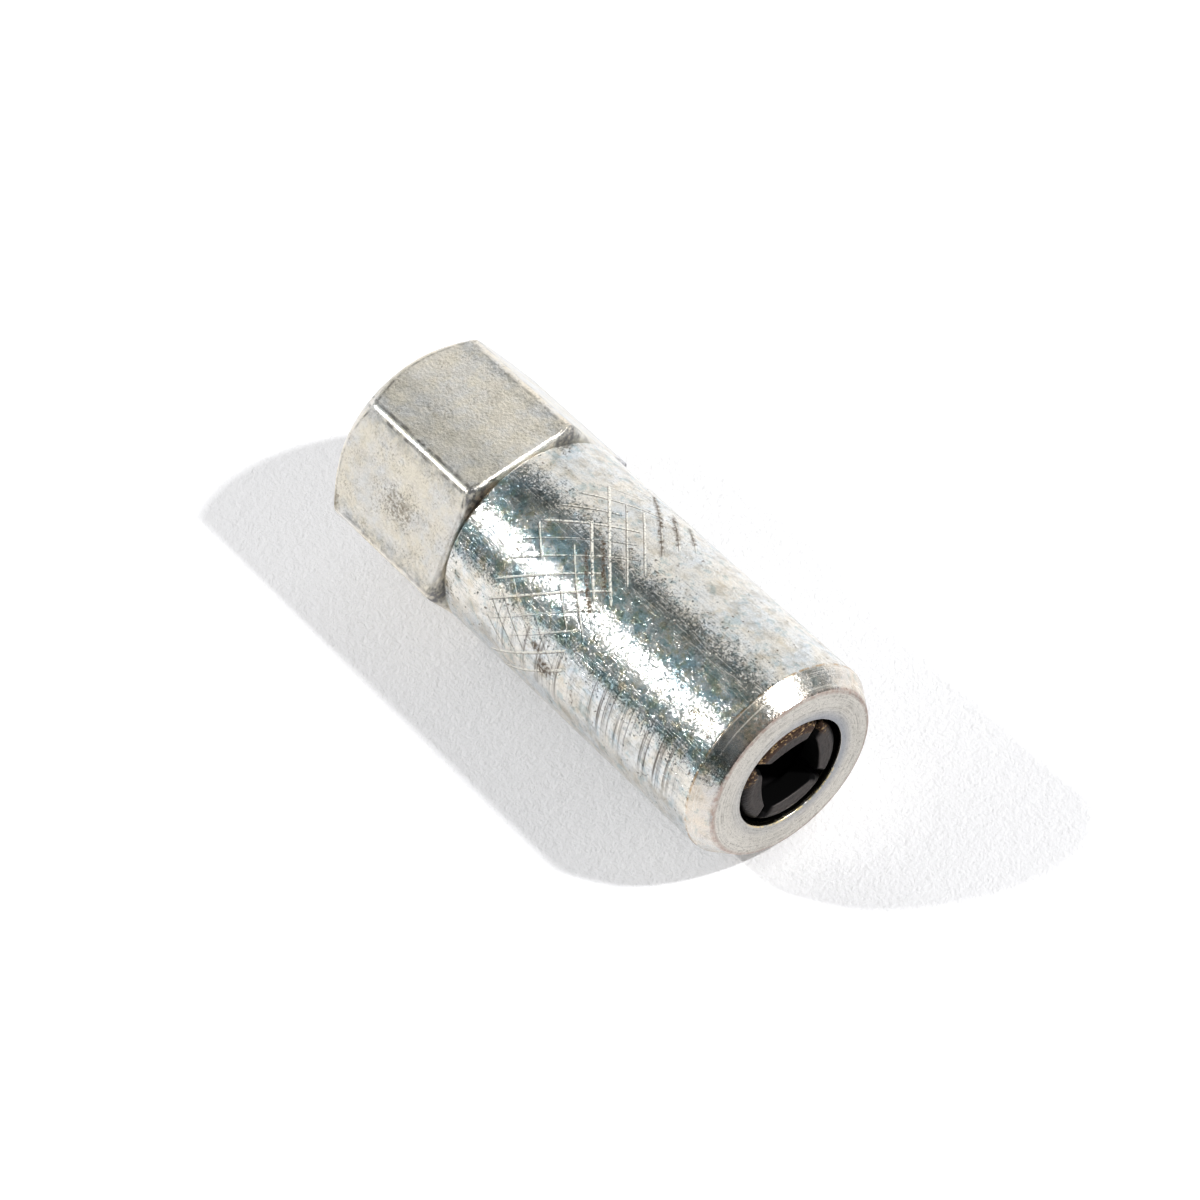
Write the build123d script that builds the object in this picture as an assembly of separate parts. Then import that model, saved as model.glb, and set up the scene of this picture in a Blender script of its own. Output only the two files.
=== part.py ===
from build123d import *
import math
import os

# Hydraulic grease coupler, lying on one flat of its hexagon. Millimetres.
# X runs along the axis from the rear face of the hexagon (x = 0) to the nose, and Z is up.

# Outside of the body
overall_length = 38.7
barrel_diameter = 15.0
nose_bevel_length = 1.55
nose_bevel_depth = 0.98
nose_face_width = 2.26
barrel_rear_chamfer = 0.3
hexagon_length = 11.9
hexagon_edge_radius = 0.5
hexagon_rear_set_in = 0.26
hexagon_front_face_margin = 0.6
hexagon_front_bevel_angle = 30.0

# Hose thread in the rear face, bored to the thread's minor diameter
inlet_thread_minor_diameter = 8.92
inlet_thread_depth = 8.0
inlet_countersink_diameter = 10.2
inlet_countersink_half_angle = 60.0
drill_point_half_angle = 59.0
grease_passage_diameter = 3.0
grease_passage_length = 1.7

# Thread between adapter and sleeve, modelled as plain cylinders at its pitch diameter
joint_thread_wall = 1.325
joint_thread_length = 5.5
joint_thread_clearance = 0.025
joint_thread_chamfer = 0.4
joint_relief_depth = 0.475
joint_relief_length = 1.0
sleeve_thread_runout = 1.0

# Adapter neck and the bore in which the plunger slides
neck_spring_clearance = 0.45
neck_chamfer = 0.3
plunger_bore_diameter = 6.0
plunger_bore_chamfer = 0.35
plunger_running_clearance = 0.05

# Chamber and mouth of the sleeve
chamber_wall = 1.6
mouth_land = 0.3
cone_half_angle = 15.0

# Jaws
jaw_names = ("jaw_top", "jaw_left", "jaw_bottom", "jaw_right")
jaw_length = 9.4
jaw_recess = 0.05
jaw_saw_cut = 0.4
jaw_cone_clearance = 0.15
jaw_opening_reserve = 0.16
jaw_front_margin = 0.71
jaw_front_corner_radius = 0.45
jaw_relief_length = 1.6
jaw_wall = 1.479
jaw_lip_length = 1.1
jaw_lip_back_angle = 50.0
jaw_lip_arc_radius = 8.0
jaw_end_chamfer = 0.35
jaw_slip_gap = 0.03
lip_opening = 4.8

# Travel of plunger and jaws along the axis, and what is left free behind it at its end
jaw_travel = 3.4
neck_reserve = 0.3
bore_reserve = 1.3

# Plunger and thrust washer
washer_thickness = 0.8
washer_edge_chamfer = 0.15
flange_thickness = 1.2
flange_chamber_clearance = 0.2
boss_pocket_clearance = 0.25
boss_washer_clearance = 0.1
boss_length = 4.0
tail_chamfer = 0.3
plunger_passage_diameter = 2.0
seal_socket_wall = 0.6
seal_socket_depth = 1.8

# Plunger seals
o_ring_sides = 8
o_ring_groove_depth = 0.95
o_ring_side_room = 0.3
ring_fit_clearance = 0.02
backup_ring_thickness = 0.8
groove_from_tail_end = 1.6

# Check valve in the plunger
valve_seat_half_angle = 45.0
check_ball_diameter = 3.0
check_ball_side_clearance = 0.4
check_ball_lift = 0.8
check_ball_seat_gap = 0.02
cap_thickness = 1.0
cap_hole_diameter = 1.6
cap_fit_clearance = 0.01

# Nose seal
seal_pocket_clearance = 0.35
seal_head_length = 1.6
seal_fit_clearance = 0.02
seal_hole_diameter = 1.8
seal_mouth_rim = 0.6
seal_mouth_depth = 2.1
seal_edge_round = 0.25

# Springs
jaw_spring_wire = 0.9
jaw_spring_chamber_clearance = 0.35
jaw_spring_turns = 4.5
check_spring_wire = 0.3
check_spring_mean_diameter = 2.2
check_spring_turns = 4.0
check_spring_reserve = 1.2
spring_wire_sides = 5

# How far tools reach past what they cut
cutter_overrun = 1.0

# Diameters and radii that follow. The barrel is as thick as the hexagon is across its flats,
# so that both rest on a bench.
barrel_radius = barrel_diameter / 2
hexagon_across_flats = barrel_diameter
joint_thread_pitch_diameter = barrel_diameter - 2 * joint_thread_wall
chamber_diameter = barrel_diameter - 2 * chamber_wall
mouth_radius = barrel_radius - nose_bevel_depth - nose_face_width
cone_slope = math.tan(math.radians(cone_half_angle))
jaw_body_radius = chamber_diameter / 2 - jaw_travel * cone_slope - jaw_opening_reserve
jaw_pocket_radius = jaw_body_radius - jaw_wall
jaw_spring_mean_diameter = chamber_diameter - 2 * jaw_spring_chamber_clearance - jaw_spring_wire
neck_diameter = jaw_spring_mean_diameter - jaw_spring_wire - 2 * neck_spring_clearance
flange_diameter = chamber_diameter - 2 * flange_chamber_clearance
boss_diameter = 2 * (jaw_pocket_radius - boss_pocket_clearance)
seal_socket_diameter = boss_diameter - 2 * seal_socket_wall
seal_head_diameter = 2 * (jaw_pocket_radius - seal_pocket_clearance)
tail_diameter = plunger_bore_diameter - 2 * plunger_running_clearance
o_ring_groove_diameter = tail_diameter - 2 * o_ring_groove_depth
o_ring_section = (plunger_bore_diameter - o_ring_groove_diameter) / 2 - 2 * ring_fit_clearance
valve_chamber_diameter = check_ball_diameter + 2 * check_ball_side_clearance
far = 4 * barrel_diameter

# Places along the axis
cone_front = overall_length - mouth_land
cone_rear = cone_front - (chamber_diameter / 2 - mouth_radius) / cone_slope
thread_front = hexagon_length + joint_thread_length
jaw_front = overall_length - jaw_recess
jaw_rear = jaw_front - jaw_length
washer_front = jaw_rear - jaw_slip_gap
flange_front = washer_front - washer_thickness
flange_rear = flange_front - flange_thickness
boss_front = flange_front + boss_length
neck_front = flange_rear - jaw_travel - neck_reserve
seal_rear = boss_front - seal_socket_depth
cap_rear = seal_rear - cap_thickness
inlet_radius = inlet_thread_minor_diameter / 2
drill_point_slope = math.tan(math.radians(drill_point_half_angle))
drill_point_length = (inlet_radius - grease_passage_diameter / 2) / drill_point_slope
plunger_bore_rear = inlet_thread_depth + drill_point_length + grease_passage_length
tail_rear = plunger_bore_rear + jaw_travel + bore_reserve

print("neck", round(neck_front - thread_front, 3), "mm, plunger tail", round(flange_rear - tail_rear, 3), "mm")
print("jaws open by", round(jaw_travel * cone_slope, 3), "mm each")


def turned(points):
    """A solid of revolution about X from its outline of (x, radius) points."""
    outline = Polyline(*points, close=True)
    return revolve(make_face(outline), Axis.X)


def drilled(start, end, diameter):
    """A plain cylinder along X, to add or to cut."""
    radius = diameter / 2
    return turned([(start, 0), (start, radius), (end, radius), (end, 0)])


def coned(start, start_radius, end, end_radius):
    """A cone or countersink along X between two radii."""
    return turned([(start, 0), (start, start_radius), (end, end_radius), (end, 0)])


def hexagon_prism():
    """The hexagon bar, one flat up and one flat down, its six long edges rounded."""
    corner_radius = hexagon_across_flats / math.sqrt(3)
    section = Plane.YZ * RegularPolygon(corner_radius, 6)
    bar = extrude(section, hexagon_length)
    long_edges = bar.edges().filter_by(Axis.X)
    return fillet(long_edges, hexagon_edge_radius)


def hexagon():
    """The hexagon with its turned ends: a 45 degree chamfer behind, a slight bevel in front."""
    rear_radius = hexagon_across_flats / 2 - hexagon_rear_set_in
    front_radius = hexagon_across_flats / 2 + hexagon_front_face_margin
    outside = hexagon_across_flats
    rear_rise = outside - rear_radius
    front_drop = (outside - front_radius) * math.tan(math.radians(hexagon_front_bevel_angle))
    envelope = turned(
        [
            (0, 0),
            (0, rear_radius),
            (rear_rise, outside),
            (hexagon_length - front_drop, outside),
            (hexagon_length, front_radius),
            (hexagon_length, 0),
        ]
    )
    return hexagon_prism() & envelope


def inlet_cavity():
    """The threaded hole for the hose end, its countersink, drill point and grease passage."""
    mouth = inlet_countersink_diameter / 2
    mouth_depth = (mouth - inlet_radius) / math.tan(math.radians(inlet_countersink_half_angle))
    passage = grease_passage_diameter / 2
    return turned(
        [
            (0, 0),
            (0, mouth),
            (mouth_depth, inlet_radius),
            (inlet_thread_depth, inlet_radius),
            (inlet_thread_depth + drill_point_length, passage),
            (plunger_bore_rear, passage),
            (plunger_bore_rear, 0),
        ]
    )


def make_adapter():
    """Hexagon body with the inlet thread, the joint thread, and the neck that guides the plunger."""
    thread_radius = joint_thread_pitch_diameter / 2 - joint_thread_clearance
    relief_radius = joint_thread_pitch_diameter / 2 - joint_relief_depth
    relief_front = hexagon_length + joint_relief_length
    relief_ramp = relief_front + thread_radius - relief_radius
    neck_radius = neck_diameter / 2
    spigot = turned(
        [
            (hexagon_length, 0),
            (hexagon_length, relief_radius),
            (relief_front, relief_radius),
            (relief_ramp, thread_radius),
            (thread_front - joint_thread_chamfer, thread_radius),
            (thread_front, thread_radius - joint_thread_chamfer),
            (thread_front, neck_radius),
            (neck_front - neck_chamfer, neck_radius),
            (neck_front, neck_radius - neck_chamfer),
            (neck_front, 0),
        ]
    )
    bore_radius = plunger_bore_diameter / 2
    bore = drilled(plunger_bore_rear, neck_front, plunger_bore_diameter)
    lead_in = coned(
        neck_front - plunger_bore_chamfer,
        bore_radius,
        neck_front,
        bore_radius + plunger_bore_chamfer,
    )
    return hexagon() + spigot - inlet_cavity() - bore - lead_in


def make_sleeve():
    """Barrel with the bevelled nose, the cone that closes the jaws, and the joint thread behind."""
    rim_radius = barrel_radius - nose_bevel_depth
    bevel_rear = overall_length - nose_bevel_length
    thread_radius = joint_thread_pitch_diameter / 2 + joint_thread_clearance
    thread_end = thread_front + sleeve_thread_runout
    chamber_radius = chamber_diameter / 2
    body = turned(
        [
            (hexagon_length, 0),
            (hexagon_length, barrel_radius - barrel_rear_chamfer),
            (hexagon_length + barrel_rear_chamfer, barrel_radius),
            (bevel_rear, barrel_radius),
            (overall_length, rim_radius),
            (overall_length, 0),
        ]
    )
    cavity = turned(
        [
            (hexagon_length, 0),
            (hexagon_length, thread_radius + joint_thread_chamfer),
            (hexagon_length + joint_thread_chamfer, thread_radius),
            (thread_end, thread_radius),
            (thread_end + thread_radius - chamber_radius, chamber_radius),
            (cone_rear, chamber_radius),
            (cone_front, mouth_radius),
            (overall_length, mouth_radius),
            (overall_length, 0),
        ]
    )
    return body - cavity


def jaw_cone_radius(x):
    """Radius of the jaws' working cone at x: the sleeve's cone less the clearance across it."""
    clearance = jaw_cone_clearance / math.cos(math.radians(cone_half_angle))
    return mouth_radius + (cone_front - x) * cone_slope - clearance


def jaw_ring():
    """All the jaws before they are sawn apart: a ring with the closing cone and the pocket."""
    face_radius = mouth_radius - jaw_front_margin
    corner = jaw_front_corner_radius
    relief_rear = jaw_front - jaw_relief_length
    cone_end = jaw_front - (jaw_body_radius - jaw_cone_radius(jaw_front)) / cone_slope
    lip_radius = lip_opening / 2 - corner
    lip_rear = jaw_front - jaw_lip_length
    back_run = (jaw_pocket_radius - lip_radius) / math.tan(math.radians(jaw_lip_back_angle))
    face = Line((jaw_front, lip_radius), (jaw_front, face_radius))
    rounding = CenterArc((jaw_front - corner, face_radius), corner, 0, 90)
    sides = Polyline(
        (jaw_front - corner, face_radius + corner),
        (relief_rear, jaw_cone_radius(relief_rear)),
        (cone_end, jaw_body_radius),
        (jaw_rear, jaw_body_radius),
        (jaw_rear, jaw_pocket_radius),
        (lip_rear - back_run, jaw_pocket_radius),
        (lip_rear, lip_radius),
        (jaw_front, lip_radius),
    )
    return revolve(make_face(face + rounding + sides), Axis.X)


def make_jaw(turn):
    """One jaw, cut from the ring on the top side and turned about X to its place."""
    half_angle = math.radians(180 / len(jaw_names))
    apex = jaw_saw_cut / 2 / math.sin(half_angle)
    side_y = far * math.sin(half_angle)
    side_z = apex + far * math.cos(half_angle)
    sector = Plane.YZ * make_face(Polyline((0, apex), (side_y, side_z), (-side_y, side_z), close=True))
    wedge = Pos(X=jaw_rear) * extrude(sector, jaw_length)
    lip_bore = drilled(jaw_rear - cutter_overrun, jaw_front + cutter_overrun, 2 * jaw_lip_arc_radius)
    lip_cutter = Pos(Z=lip_opening / 2 - jaw_lip_arc_radius) * lip_bore
    bevels = jaw_end_bevel(1) + jaw_end_bevel(-1)
    return Rot(X=turn) * ((jaw_ring() & wedge) - lip_cutter - bevels)


def jaw_end_bevel(side):
    """Prism that bevels one sawn side of a jaw at its front end, made on the side plane and turned."""
    sawn = side * jaw_saw_cut / 2
    cut = side * jaw_end_chamfer
    past = side * cutter_overrun
    corner = Polyline(
        (jaw_front - jaw_end_chamfer - cutter_overrun, -sawn + past),
        (jaw_front + cutter_overrun, -sawn - cut - past),
        (jaw_front + cutter_overrun, -sawn + past),
        close=True,
    )
    prism = extrude(make_face(corner), far / 2, both=True)
    return Rot(X=-side * 180 / len(jaw_names)) * prism


def make_thrust_washer():
    """Flat hardened ring between the plunger's flange and the jaws."""
    outer = flange_diameter / 2
    inner = boss_diameter / 2 + boss_washer_clearance
    edge = washer_edge_chamfer
    return turned(
        [
            (flange_front, inner),
            (flange_front, outer - edge),
            (flange_front + edge, outer),
            (washer_front - edge, outer),
            (washer_front, outer - edge),
            (washer_front, inner),
        ]
    )


def make_plunger():
    """Plunger: grooved tail in the adapter, spring flange, and boss that carries valve and seal."""
    tail_radius = tail_diameter / 2
    boss_radius = boss_diameter / 2
    passage_radius = plunger_passage_diameter / 2
    valve_radius = valve_chamber_diameter / 2
    seat_slope = math.tan(math.radians(valve_seat_half_angle))
    seat_end = valve_seat_start() + (valve_radius - passage_radius) / seat_slope
    groove_rear, groove_front = groove_span()
    body = turned(
        [
            (tail_rear, 0),
            (tail_rear, tail_radius - tail_chamfer),
            (tail_rear + tail_chamfer, tail_radius),
            (groove_rear, tail_radius),
            (groove_rear, o_ring_groove_diameter / 2),
            (groove_front, o_ring_groove_diameter / 2),
            (groove_front, tail_radius),
            (flange_rear, tail_radius),
            (flange_rear, flange_diameter / 2),
            (flange_front, flange_diameter / 2),
            (flange_front, boss_radius),
            (boss_front - tail_chamfer, boss_radius),
            (boss_front, boss_radius - tail_chamfer),
            (boss_front, 0),
        ]
    )
    cavity = turned(
        [
            (tail_rear, 0),
            (tail_rear, passage_radius),
            (valve_seat_start(), passage_radius),
            (seat_end, valve_radius),
            (seal_rear, valve_radius),
            (seal_rear, seal_socket_diameter / 2),
            (boss_front, seal_socket_diameter / 2),
            (boss_front, 0),
        ]
    )
    return body - cavity


def groove_span():
    """Rear and front of the groove that holds the O-ring and the backup ring."""
    rear = tail_rear + groove_from_tail_end
    return rear, rear + o_ring_side_room + o_ring_section + backup_ring_thickness


def spring_seat_on_ball():
    """How far ahead of the ball's centre the check spring's inner edge rests on the ball."""
    inner_radius = (check_spring_mean_diameter - check_spring_wire) / 2
    return math.sqrt((check_ball_diameter / 2) ** 2 - inner_radius**2)


def check_spring_length():
    """Length of the check spring with the ball on its seat: closed length, ball lift and reserve."""
    return check_spring_turns * check_spring_wire + check_ball_lift + check_spring_reserve


def check_ball_centre():
    """Place of the ball's centre when it rests on its seat."""
    return cap_rear - check_spring_length() - spring_seat_on_ball() - check_ball_seat_gap


def valve_seat_start():
    """Where the conical valve seat leaves the plunger's passage, so that the ball touches the cone."""
    half_angle = math.radians(valve_seat_half_angle)
    ball_reach = (check_ball_diameter / 2 + check_ball_seat_gap) / math.sin(half_angle)
    cone_tip = check_ball_centre() - ball_reach
    return cone_tip + plunger_passage_diameter / 2 / math.tan(half_angle)


def make_o_ring():
    """O-ring in the tail's groove, against the backup ring."""
    groove_rear, groove_front = groove_span()
    centre_x = groove_front - backup_ring_thickness - o_ring_section / 2
    centre_radius = o_ring_groove_diameter / 2 + ring_fit_clearance + o_ring_section / 2
    section = Pos(centre_x, centre_radius) * RegularPolygon(o_ring_section / 2, o_ring_sides)
    return revolve(section, Axis.X)


def make_backup_ring():
    """Rectangular ring at the front of the groove."""
    groove_front = groove_span()[1]
    inner = o_ring_groove_diameter / 2 + ring_fit_clearance
    outer = inner + o_ring_section
    rear = groove_front - backup_ring_thickness
    return turned([(rear, inner), (rear, outer), (groove_front, outer), (groove_front, inner)])


def make_check_ball():
    """Valve ball on its seat."""
    return Pos(X=check_ball_centre()) * Sphere(check_ball_diameter / 2)


def coil_spring(start, end, mean_diameter, wire, turns):
    """Compression spring along X from start to end, both ends ground flat."""
    overrun = wire
    pitch = (end - start) / turns
    rise = end - start + 2 * overrun
    path = Pos(X=start - overrun) * Helix(pitch, rise, mean_diameter / 2, direction=(1, 0, 0))
    section = Plane(origin=path @ 0, z_dir=path % 0) * RegularPolygon(wire / 2, spring_wire_sides)
    coil = sweep(section, path=path, is_frenet=True)
    room = Pos(X=(start + end) / 2) * Box(end - start, far, far)
    return coil & room


def make_jaw_spring():
    """Main spring round the adapter's neck, from the threaded end's shoulder to the flange."""
    return coil_spring(thread_front, flange_rear, jaw_spring_mean_diameter, jaw_spring_wire, jaw_spring_turns)


def make_spring_cap():
    """Bored plug in front of the check spring."""
    outer = valve_chamber_diameter / 2 - cap_fit_clearance
    hole = cap_hole_diameter / 2
    return turned([(cap_rear, hole), (cap_rear, outer), (seal_rear, outer), (seal_rear, hole)])


def make_nose_seal():
    """Rubber seal: a stem in the boss, and a head with the conical mouth that meets the nipple."""
    stem_radius = seal_socket_diameter / 2 - seal_fit_clearance
    head_radius = seal_head_diameter / 2
    head_front = boss_front + seal_head_length
    hole = seal_hole_diameter / 2
    mouth = head_radius - seal_mouth_rim
    return turned(
        [
            (seal_rear, hole),
            (seal_rear, stem_radius),
            (boss_front, stem_radius),
            (boss_front, head_radius),
            (head_front - seal_edge_round, head_radius),
            (head_front, head_radius - seal_edge_round),
            (head_front, mouth),
            (head_front - seal_mouth_depth, hole),
        ]
    )


def make_check_spring():
    """Small spring between the ball and the spring cap."""
    start = check_ball_centre() + spring_seat_on_ball() + check_ball_seat_gap
    return coil_spring(start, cap_rear, check_spring_mean_diameter, check_spring_wire, check_spring_turns)


def main():
    """Builds every piece and writes each to its own file."""
    pieces = {
        "sleeve": make_sleeve(),
        "adapter": make_adapter(),
        "plunger": make_plunger(),
        "thrust_washer": make_thrust_washer(),
        "plunger_o_ring": make_o_ring(),
        "backup_ring": make_backup_ring(),
        "check_ball": make_check_ball(),
        "check_spring": make_check_spring(),
        "spring_cap": make_spring_cap(),
        "nose_seal": make_nose_seal(),
        "jaw_spring": make_jaw_spring(),
    }
    for index, name in enumerate(jaw_names):
        pieces[name] = make_jaw(index * 360 / len(jaw_names))
    os.makedirs("parts", exist_ok=True)
    for name, piece in pieces.items():
        export_step(piece, f"parts/{name}.step")


main()
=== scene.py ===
"""Looks of the hydraulic grease coupler: its fine shapes and finishes, with floor, light and camera.

Lengths are millimetres until a mesh is made. X runs along the axis from the hexagon to the nose and Z is up.
Angles round the axis are degrees from +Z towards -Y, the side that the camera sees.
"""

import logging
import math
from dataclasses import dataclass
from enum import Enum

import bpy
import numpy as np
from mathutils import Matrix, Vector


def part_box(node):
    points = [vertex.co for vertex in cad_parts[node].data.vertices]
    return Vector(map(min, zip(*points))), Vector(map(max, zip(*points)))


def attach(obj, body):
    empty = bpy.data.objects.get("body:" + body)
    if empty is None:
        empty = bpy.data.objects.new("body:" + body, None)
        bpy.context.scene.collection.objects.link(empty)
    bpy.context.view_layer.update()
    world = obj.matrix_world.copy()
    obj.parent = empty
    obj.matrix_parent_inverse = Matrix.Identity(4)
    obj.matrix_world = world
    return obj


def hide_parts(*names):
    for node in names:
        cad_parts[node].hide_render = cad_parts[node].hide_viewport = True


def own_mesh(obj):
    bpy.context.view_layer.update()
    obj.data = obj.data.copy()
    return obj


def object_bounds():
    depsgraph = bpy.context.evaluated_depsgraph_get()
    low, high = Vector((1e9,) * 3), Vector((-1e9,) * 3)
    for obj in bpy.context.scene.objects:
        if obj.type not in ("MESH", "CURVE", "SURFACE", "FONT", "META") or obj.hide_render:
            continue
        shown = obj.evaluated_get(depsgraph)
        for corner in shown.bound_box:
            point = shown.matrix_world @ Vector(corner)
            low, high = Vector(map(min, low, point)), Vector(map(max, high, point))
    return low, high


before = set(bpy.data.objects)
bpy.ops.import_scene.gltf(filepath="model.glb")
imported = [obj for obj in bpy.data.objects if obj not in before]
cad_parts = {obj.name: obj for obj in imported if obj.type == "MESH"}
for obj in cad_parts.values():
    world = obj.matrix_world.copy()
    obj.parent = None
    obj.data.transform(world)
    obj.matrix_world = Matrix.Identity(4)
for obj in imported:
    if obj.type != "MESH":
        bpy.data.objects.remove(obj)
cad_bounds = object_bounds()

MM = 0.001
log = logging.getLogger("grease_coupler")

Grid = np.ndarray
Piece = bpy.types.Object
Material = bpy.types.Material
Place = tuple[float, float, float]
Zone = tuple[float, float, float, float]
EVEN: Place = (1.0, 1.0, 1.0)


def colour(hex_code: str) -> tuple[float, float, float, float]:
    """Turns an sRGB hex colour into linear light.

    Args:
        hex_code: six hex digits after a hash sign.

    Returns:
        Red, green, blue and alpha as a shader takes them.
    """
    values = [int(hex_code[i : i + 2], 16) / 255 for i in (1, 3, 5)]
    linear = [v / 12.92 if v <= 0.04045 else ((v + 0.055) / 1.055) ** 2.4 for v in values]
    return (*linear, 1.0)


def node_box(node: str) -> tuple[Grid, Grid]:
    """Lowest and highest corner of a CAD node at rest, in millimetres."""
    low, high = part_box(node)
    return np.array(low) / MM, np.array(high) / MM


def add_object(name: str, data: bpy.types.ID) -> Piece:
    """Adds an object with its mesh, light or camera to the scene."""
    made = bpy.data.objects.new(name, data)
    bpy.context.scene.collection.objects.link(made)
    return made


def smooth_mesh(name: str, points: Grid, faces: list[list[int]]) -> Piece:
    """Adds a smooth mesh object at the origin from points in millimetres and the faces' point numbers."""
    mesh = bpy.data.meshes.new(name)
    mesh.from_pydata((points.reshape(-1, 3) * MM).tolist(), [], faces)
    mesh.polygons.foreach_set("use_smooth", np.ones(len(mesh.polygons), bool))
    return add_object(name, mesh)


def grid_faces(count: int, around: int, rows_join: bool, columns_join: bool) -> Grid:
    """Point numbers of the faces between the rows and columns of a grid of points."""
    row = np.arange(count if rows_join else count - 1)[:, None] * around
    column = np.arange(around if columns_join else around - 1)[None, :]
    ahead, beside = (row + around) % (count * around), (column + 1) % around
    return np.stack([row + column, row + beside, ahead + beside, ahead + column], -1).reshape(-1, 4)


def closed_surface(
    name: str, rows: Grid, joined: bool, layers: dict[str, Grid] | None = None
) -> Piece:
    """Makes a closed, smooth mesh object from a grid of points.

    Columns run round the piece and always join up. Where the rows don't, each end is closed by a fan of
    triangles to the mean of its last row. The faces are turned outwards by the sign of the mesh's volume.

    Args:
        name: the piece's name.
        rows: points as rows x columns x 3, in millimetres.
        joined: whether the last row joins the first, as on a ring or a hollow piece.
        layers: values for each point, stored as float attributes under their names.

    Returns:
        The object, at the origin, with its place in its mesh.
    """
    count, around = rows.shape[:2]
    points = rows.reshape(-1, 3)
    quads = grid_faces(count, around, joined, True)
    fans = np.zeros((0, 3), int)
    if not joined:
        near, far = np.full(around, len(points)), np.full(around, len(points) + 1)
        column, base = np.arange(around), (count - 1) * around
        beside = (column + 1) % around
        first = np.stack([near, beside, column], -1)
        last = np.stack([far, base + column, base + beside], -1)
        fans = np.concatenate([first, last])
        points = np.concatenate([points, rows[:1].mean(1), rows[-1:].mean(1)])
    corners = points[np.concatenate([quads[:, :3], quads[:, [0, 2, 3]], fans])]
    volume = (corners[:, 0] * np.cross(corners[:, 1], corners[:, 2])).sum()
    if volume < 0:
        quads = quads[:, ::-1]
        fans = fans[:, ::-1]
    piece = smooth_mesh(name, points, quads.tolist() + fans.tolist())
    for layer, values in (layers or {}).items():
        padded = np.zeros(len(points))
        padded[: values.size] = values.reshape(-1)
        piece.data.attributes.new(layer, "FLOAT", "POINT").data.foreach_set("value", padded)
    piece.data.update()
    return piece


@dataclass(frozen=True)
class Corner:
    """A corner of an outline: place along the axis, radius, rounding and steps to the next corner."""

    x: float | Grid
    r: float | Grid
    rounding: float = 0.0
    steps: int = 1


def rounded_outline(corners: list[Corner]) -> Grid:
    """Points of a closed outline whose corners are rounded.

    Each rounding is a parabola: the start of one leg, the corner and the end of the other leg, weighted by
    (1-t)^2, 2t(1-t) and t^2. The stretch between two corners is divided evenly, with one more point close to
    each end, so that smooth shading stays flat there.

    Args:
        corners: the outline's corners in order. Their x and r may be arrays, for an outline that changes
            round the piece.

    Returns:
        Points as rows x columns x 2, with one column where no corner is an array.
    """
    support, most_support, longest_share, arc_points = 0.06, 0.25, 0.45, 5
    places = [np.stack(np.broadcast_arrays(np.atleast_1d(c.x), np.atleast_1d(c.r)), -1) for c in corners]
    width = max(len(p) for p in places)
    places = [np.broadcast_to(p, (width, 2)).astype(float) for p in places]
    t = np.linspace(0, 1, arc_points)[:, None, None]
    arcs = []
    for index, corner in enumerate(corners):
        here, before, after = places[index], places[index - 1], places[(index + 1) % len(places)]
        back = np.linalg.norm(before - here, axis=1, keepdims=True)
        ahead = np.linalg.norm(after - here, axis=1, keepdims=True)
        if corner.rounding == 0:
            arcs.append(here[None])
            continue
        start = here + (before - here) / back * np.minimum(corner.rounding, longest_share * back)
        end = here + (after - here) / ahead * np.minimum(corner.rounding, longest_share * ahead)
        arcs.append((1 - t) ** 2 * start + 2 * t * (1 - t) * here + t**2 * end)
    rows = []
    for index, corner in enumerate(corners):
        rows.append(arcs[index])
        start, end = arcs[index][-1], arcs[(index + 1) % len(arcs)][0]
        near = support / np.linalg.norm(end - start, axis=1).mean()
        if near > most_support:
            continue
        shares = np.concatenate([[near], np.arange(1, corner.steps) / corner.steps, [1 - near]])
        shares = shares[(shares >= near) & (shares <= 1 - near)]
        rows.append(start + shares[:, None, None] * (end - start))
    return np.concatenate(rows)


def turned_points(x: Grid, r: Grid, angle: Grid) -> Grid:
    """Points at x and radius r, at an angle in degrees from +Z towards -Y."""
    turn = np.radians(angle)
    return np.stack(np.broadcast_arrays(x, -r * np.sin(turn), r * np.cos(turn)), -1)


def thread_wave(x: Grid, angle: Grid, pitch: float) -> Grid:
    """Height of a right-hand thread, root 0 and crest 1: a triangle wave with its tips cut off."""
    steepness = 1.35
    turns = x / pitch + angle / 360
    wave = np.abs((turns % 1) - 0.5) * 2
    return np.clip((wave - 0.5) * steepness + 0.5, 0, 1)


def eased(values: Grid, start: float, end: float) -> Grid:
    """Goes from 0 at start to 1 at end, level at both: 3t^2 - 2t^3."""
    t = np.clip((values - start) / (end - start), 0, 1)
    return t * t * (3 - 2 * t)


def within(values: Grid, zone: Zone) -> Grid:
    """Rises from 0 to 1 over the zone's first two places and falls back over its last two."""
    return eased(values, zone[0], zone[1]) * (1 - eased(values, zone[2], zone[3]))


@dataclass(frozen=True)
class Spot:
    """A soft round patch: place (mm along the axis, degrees round it), size in both, and depth."""

    x: float
    angle: float
    length: float
    width: float
    depth: float

    def strength(self, x: Grid, angle: Grid) -> Grid:
        """Depth at each point: e to the minus squared distance."""
        turn = (angle - self.angle + 180) % 360 - 180
        return self.depth * np.exp(-(((x - self.x) / self.length) ** 2) - (turn / self.width) ** 2)


def deepest(spots: tuple[Spot, ...], x: Grid, angle: Grid) -> Grid:
    """The largest depth of any of the spots at each point."""
    return np.max([spot.strength(x, angle) for spot in spots], axis=0)


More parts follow.
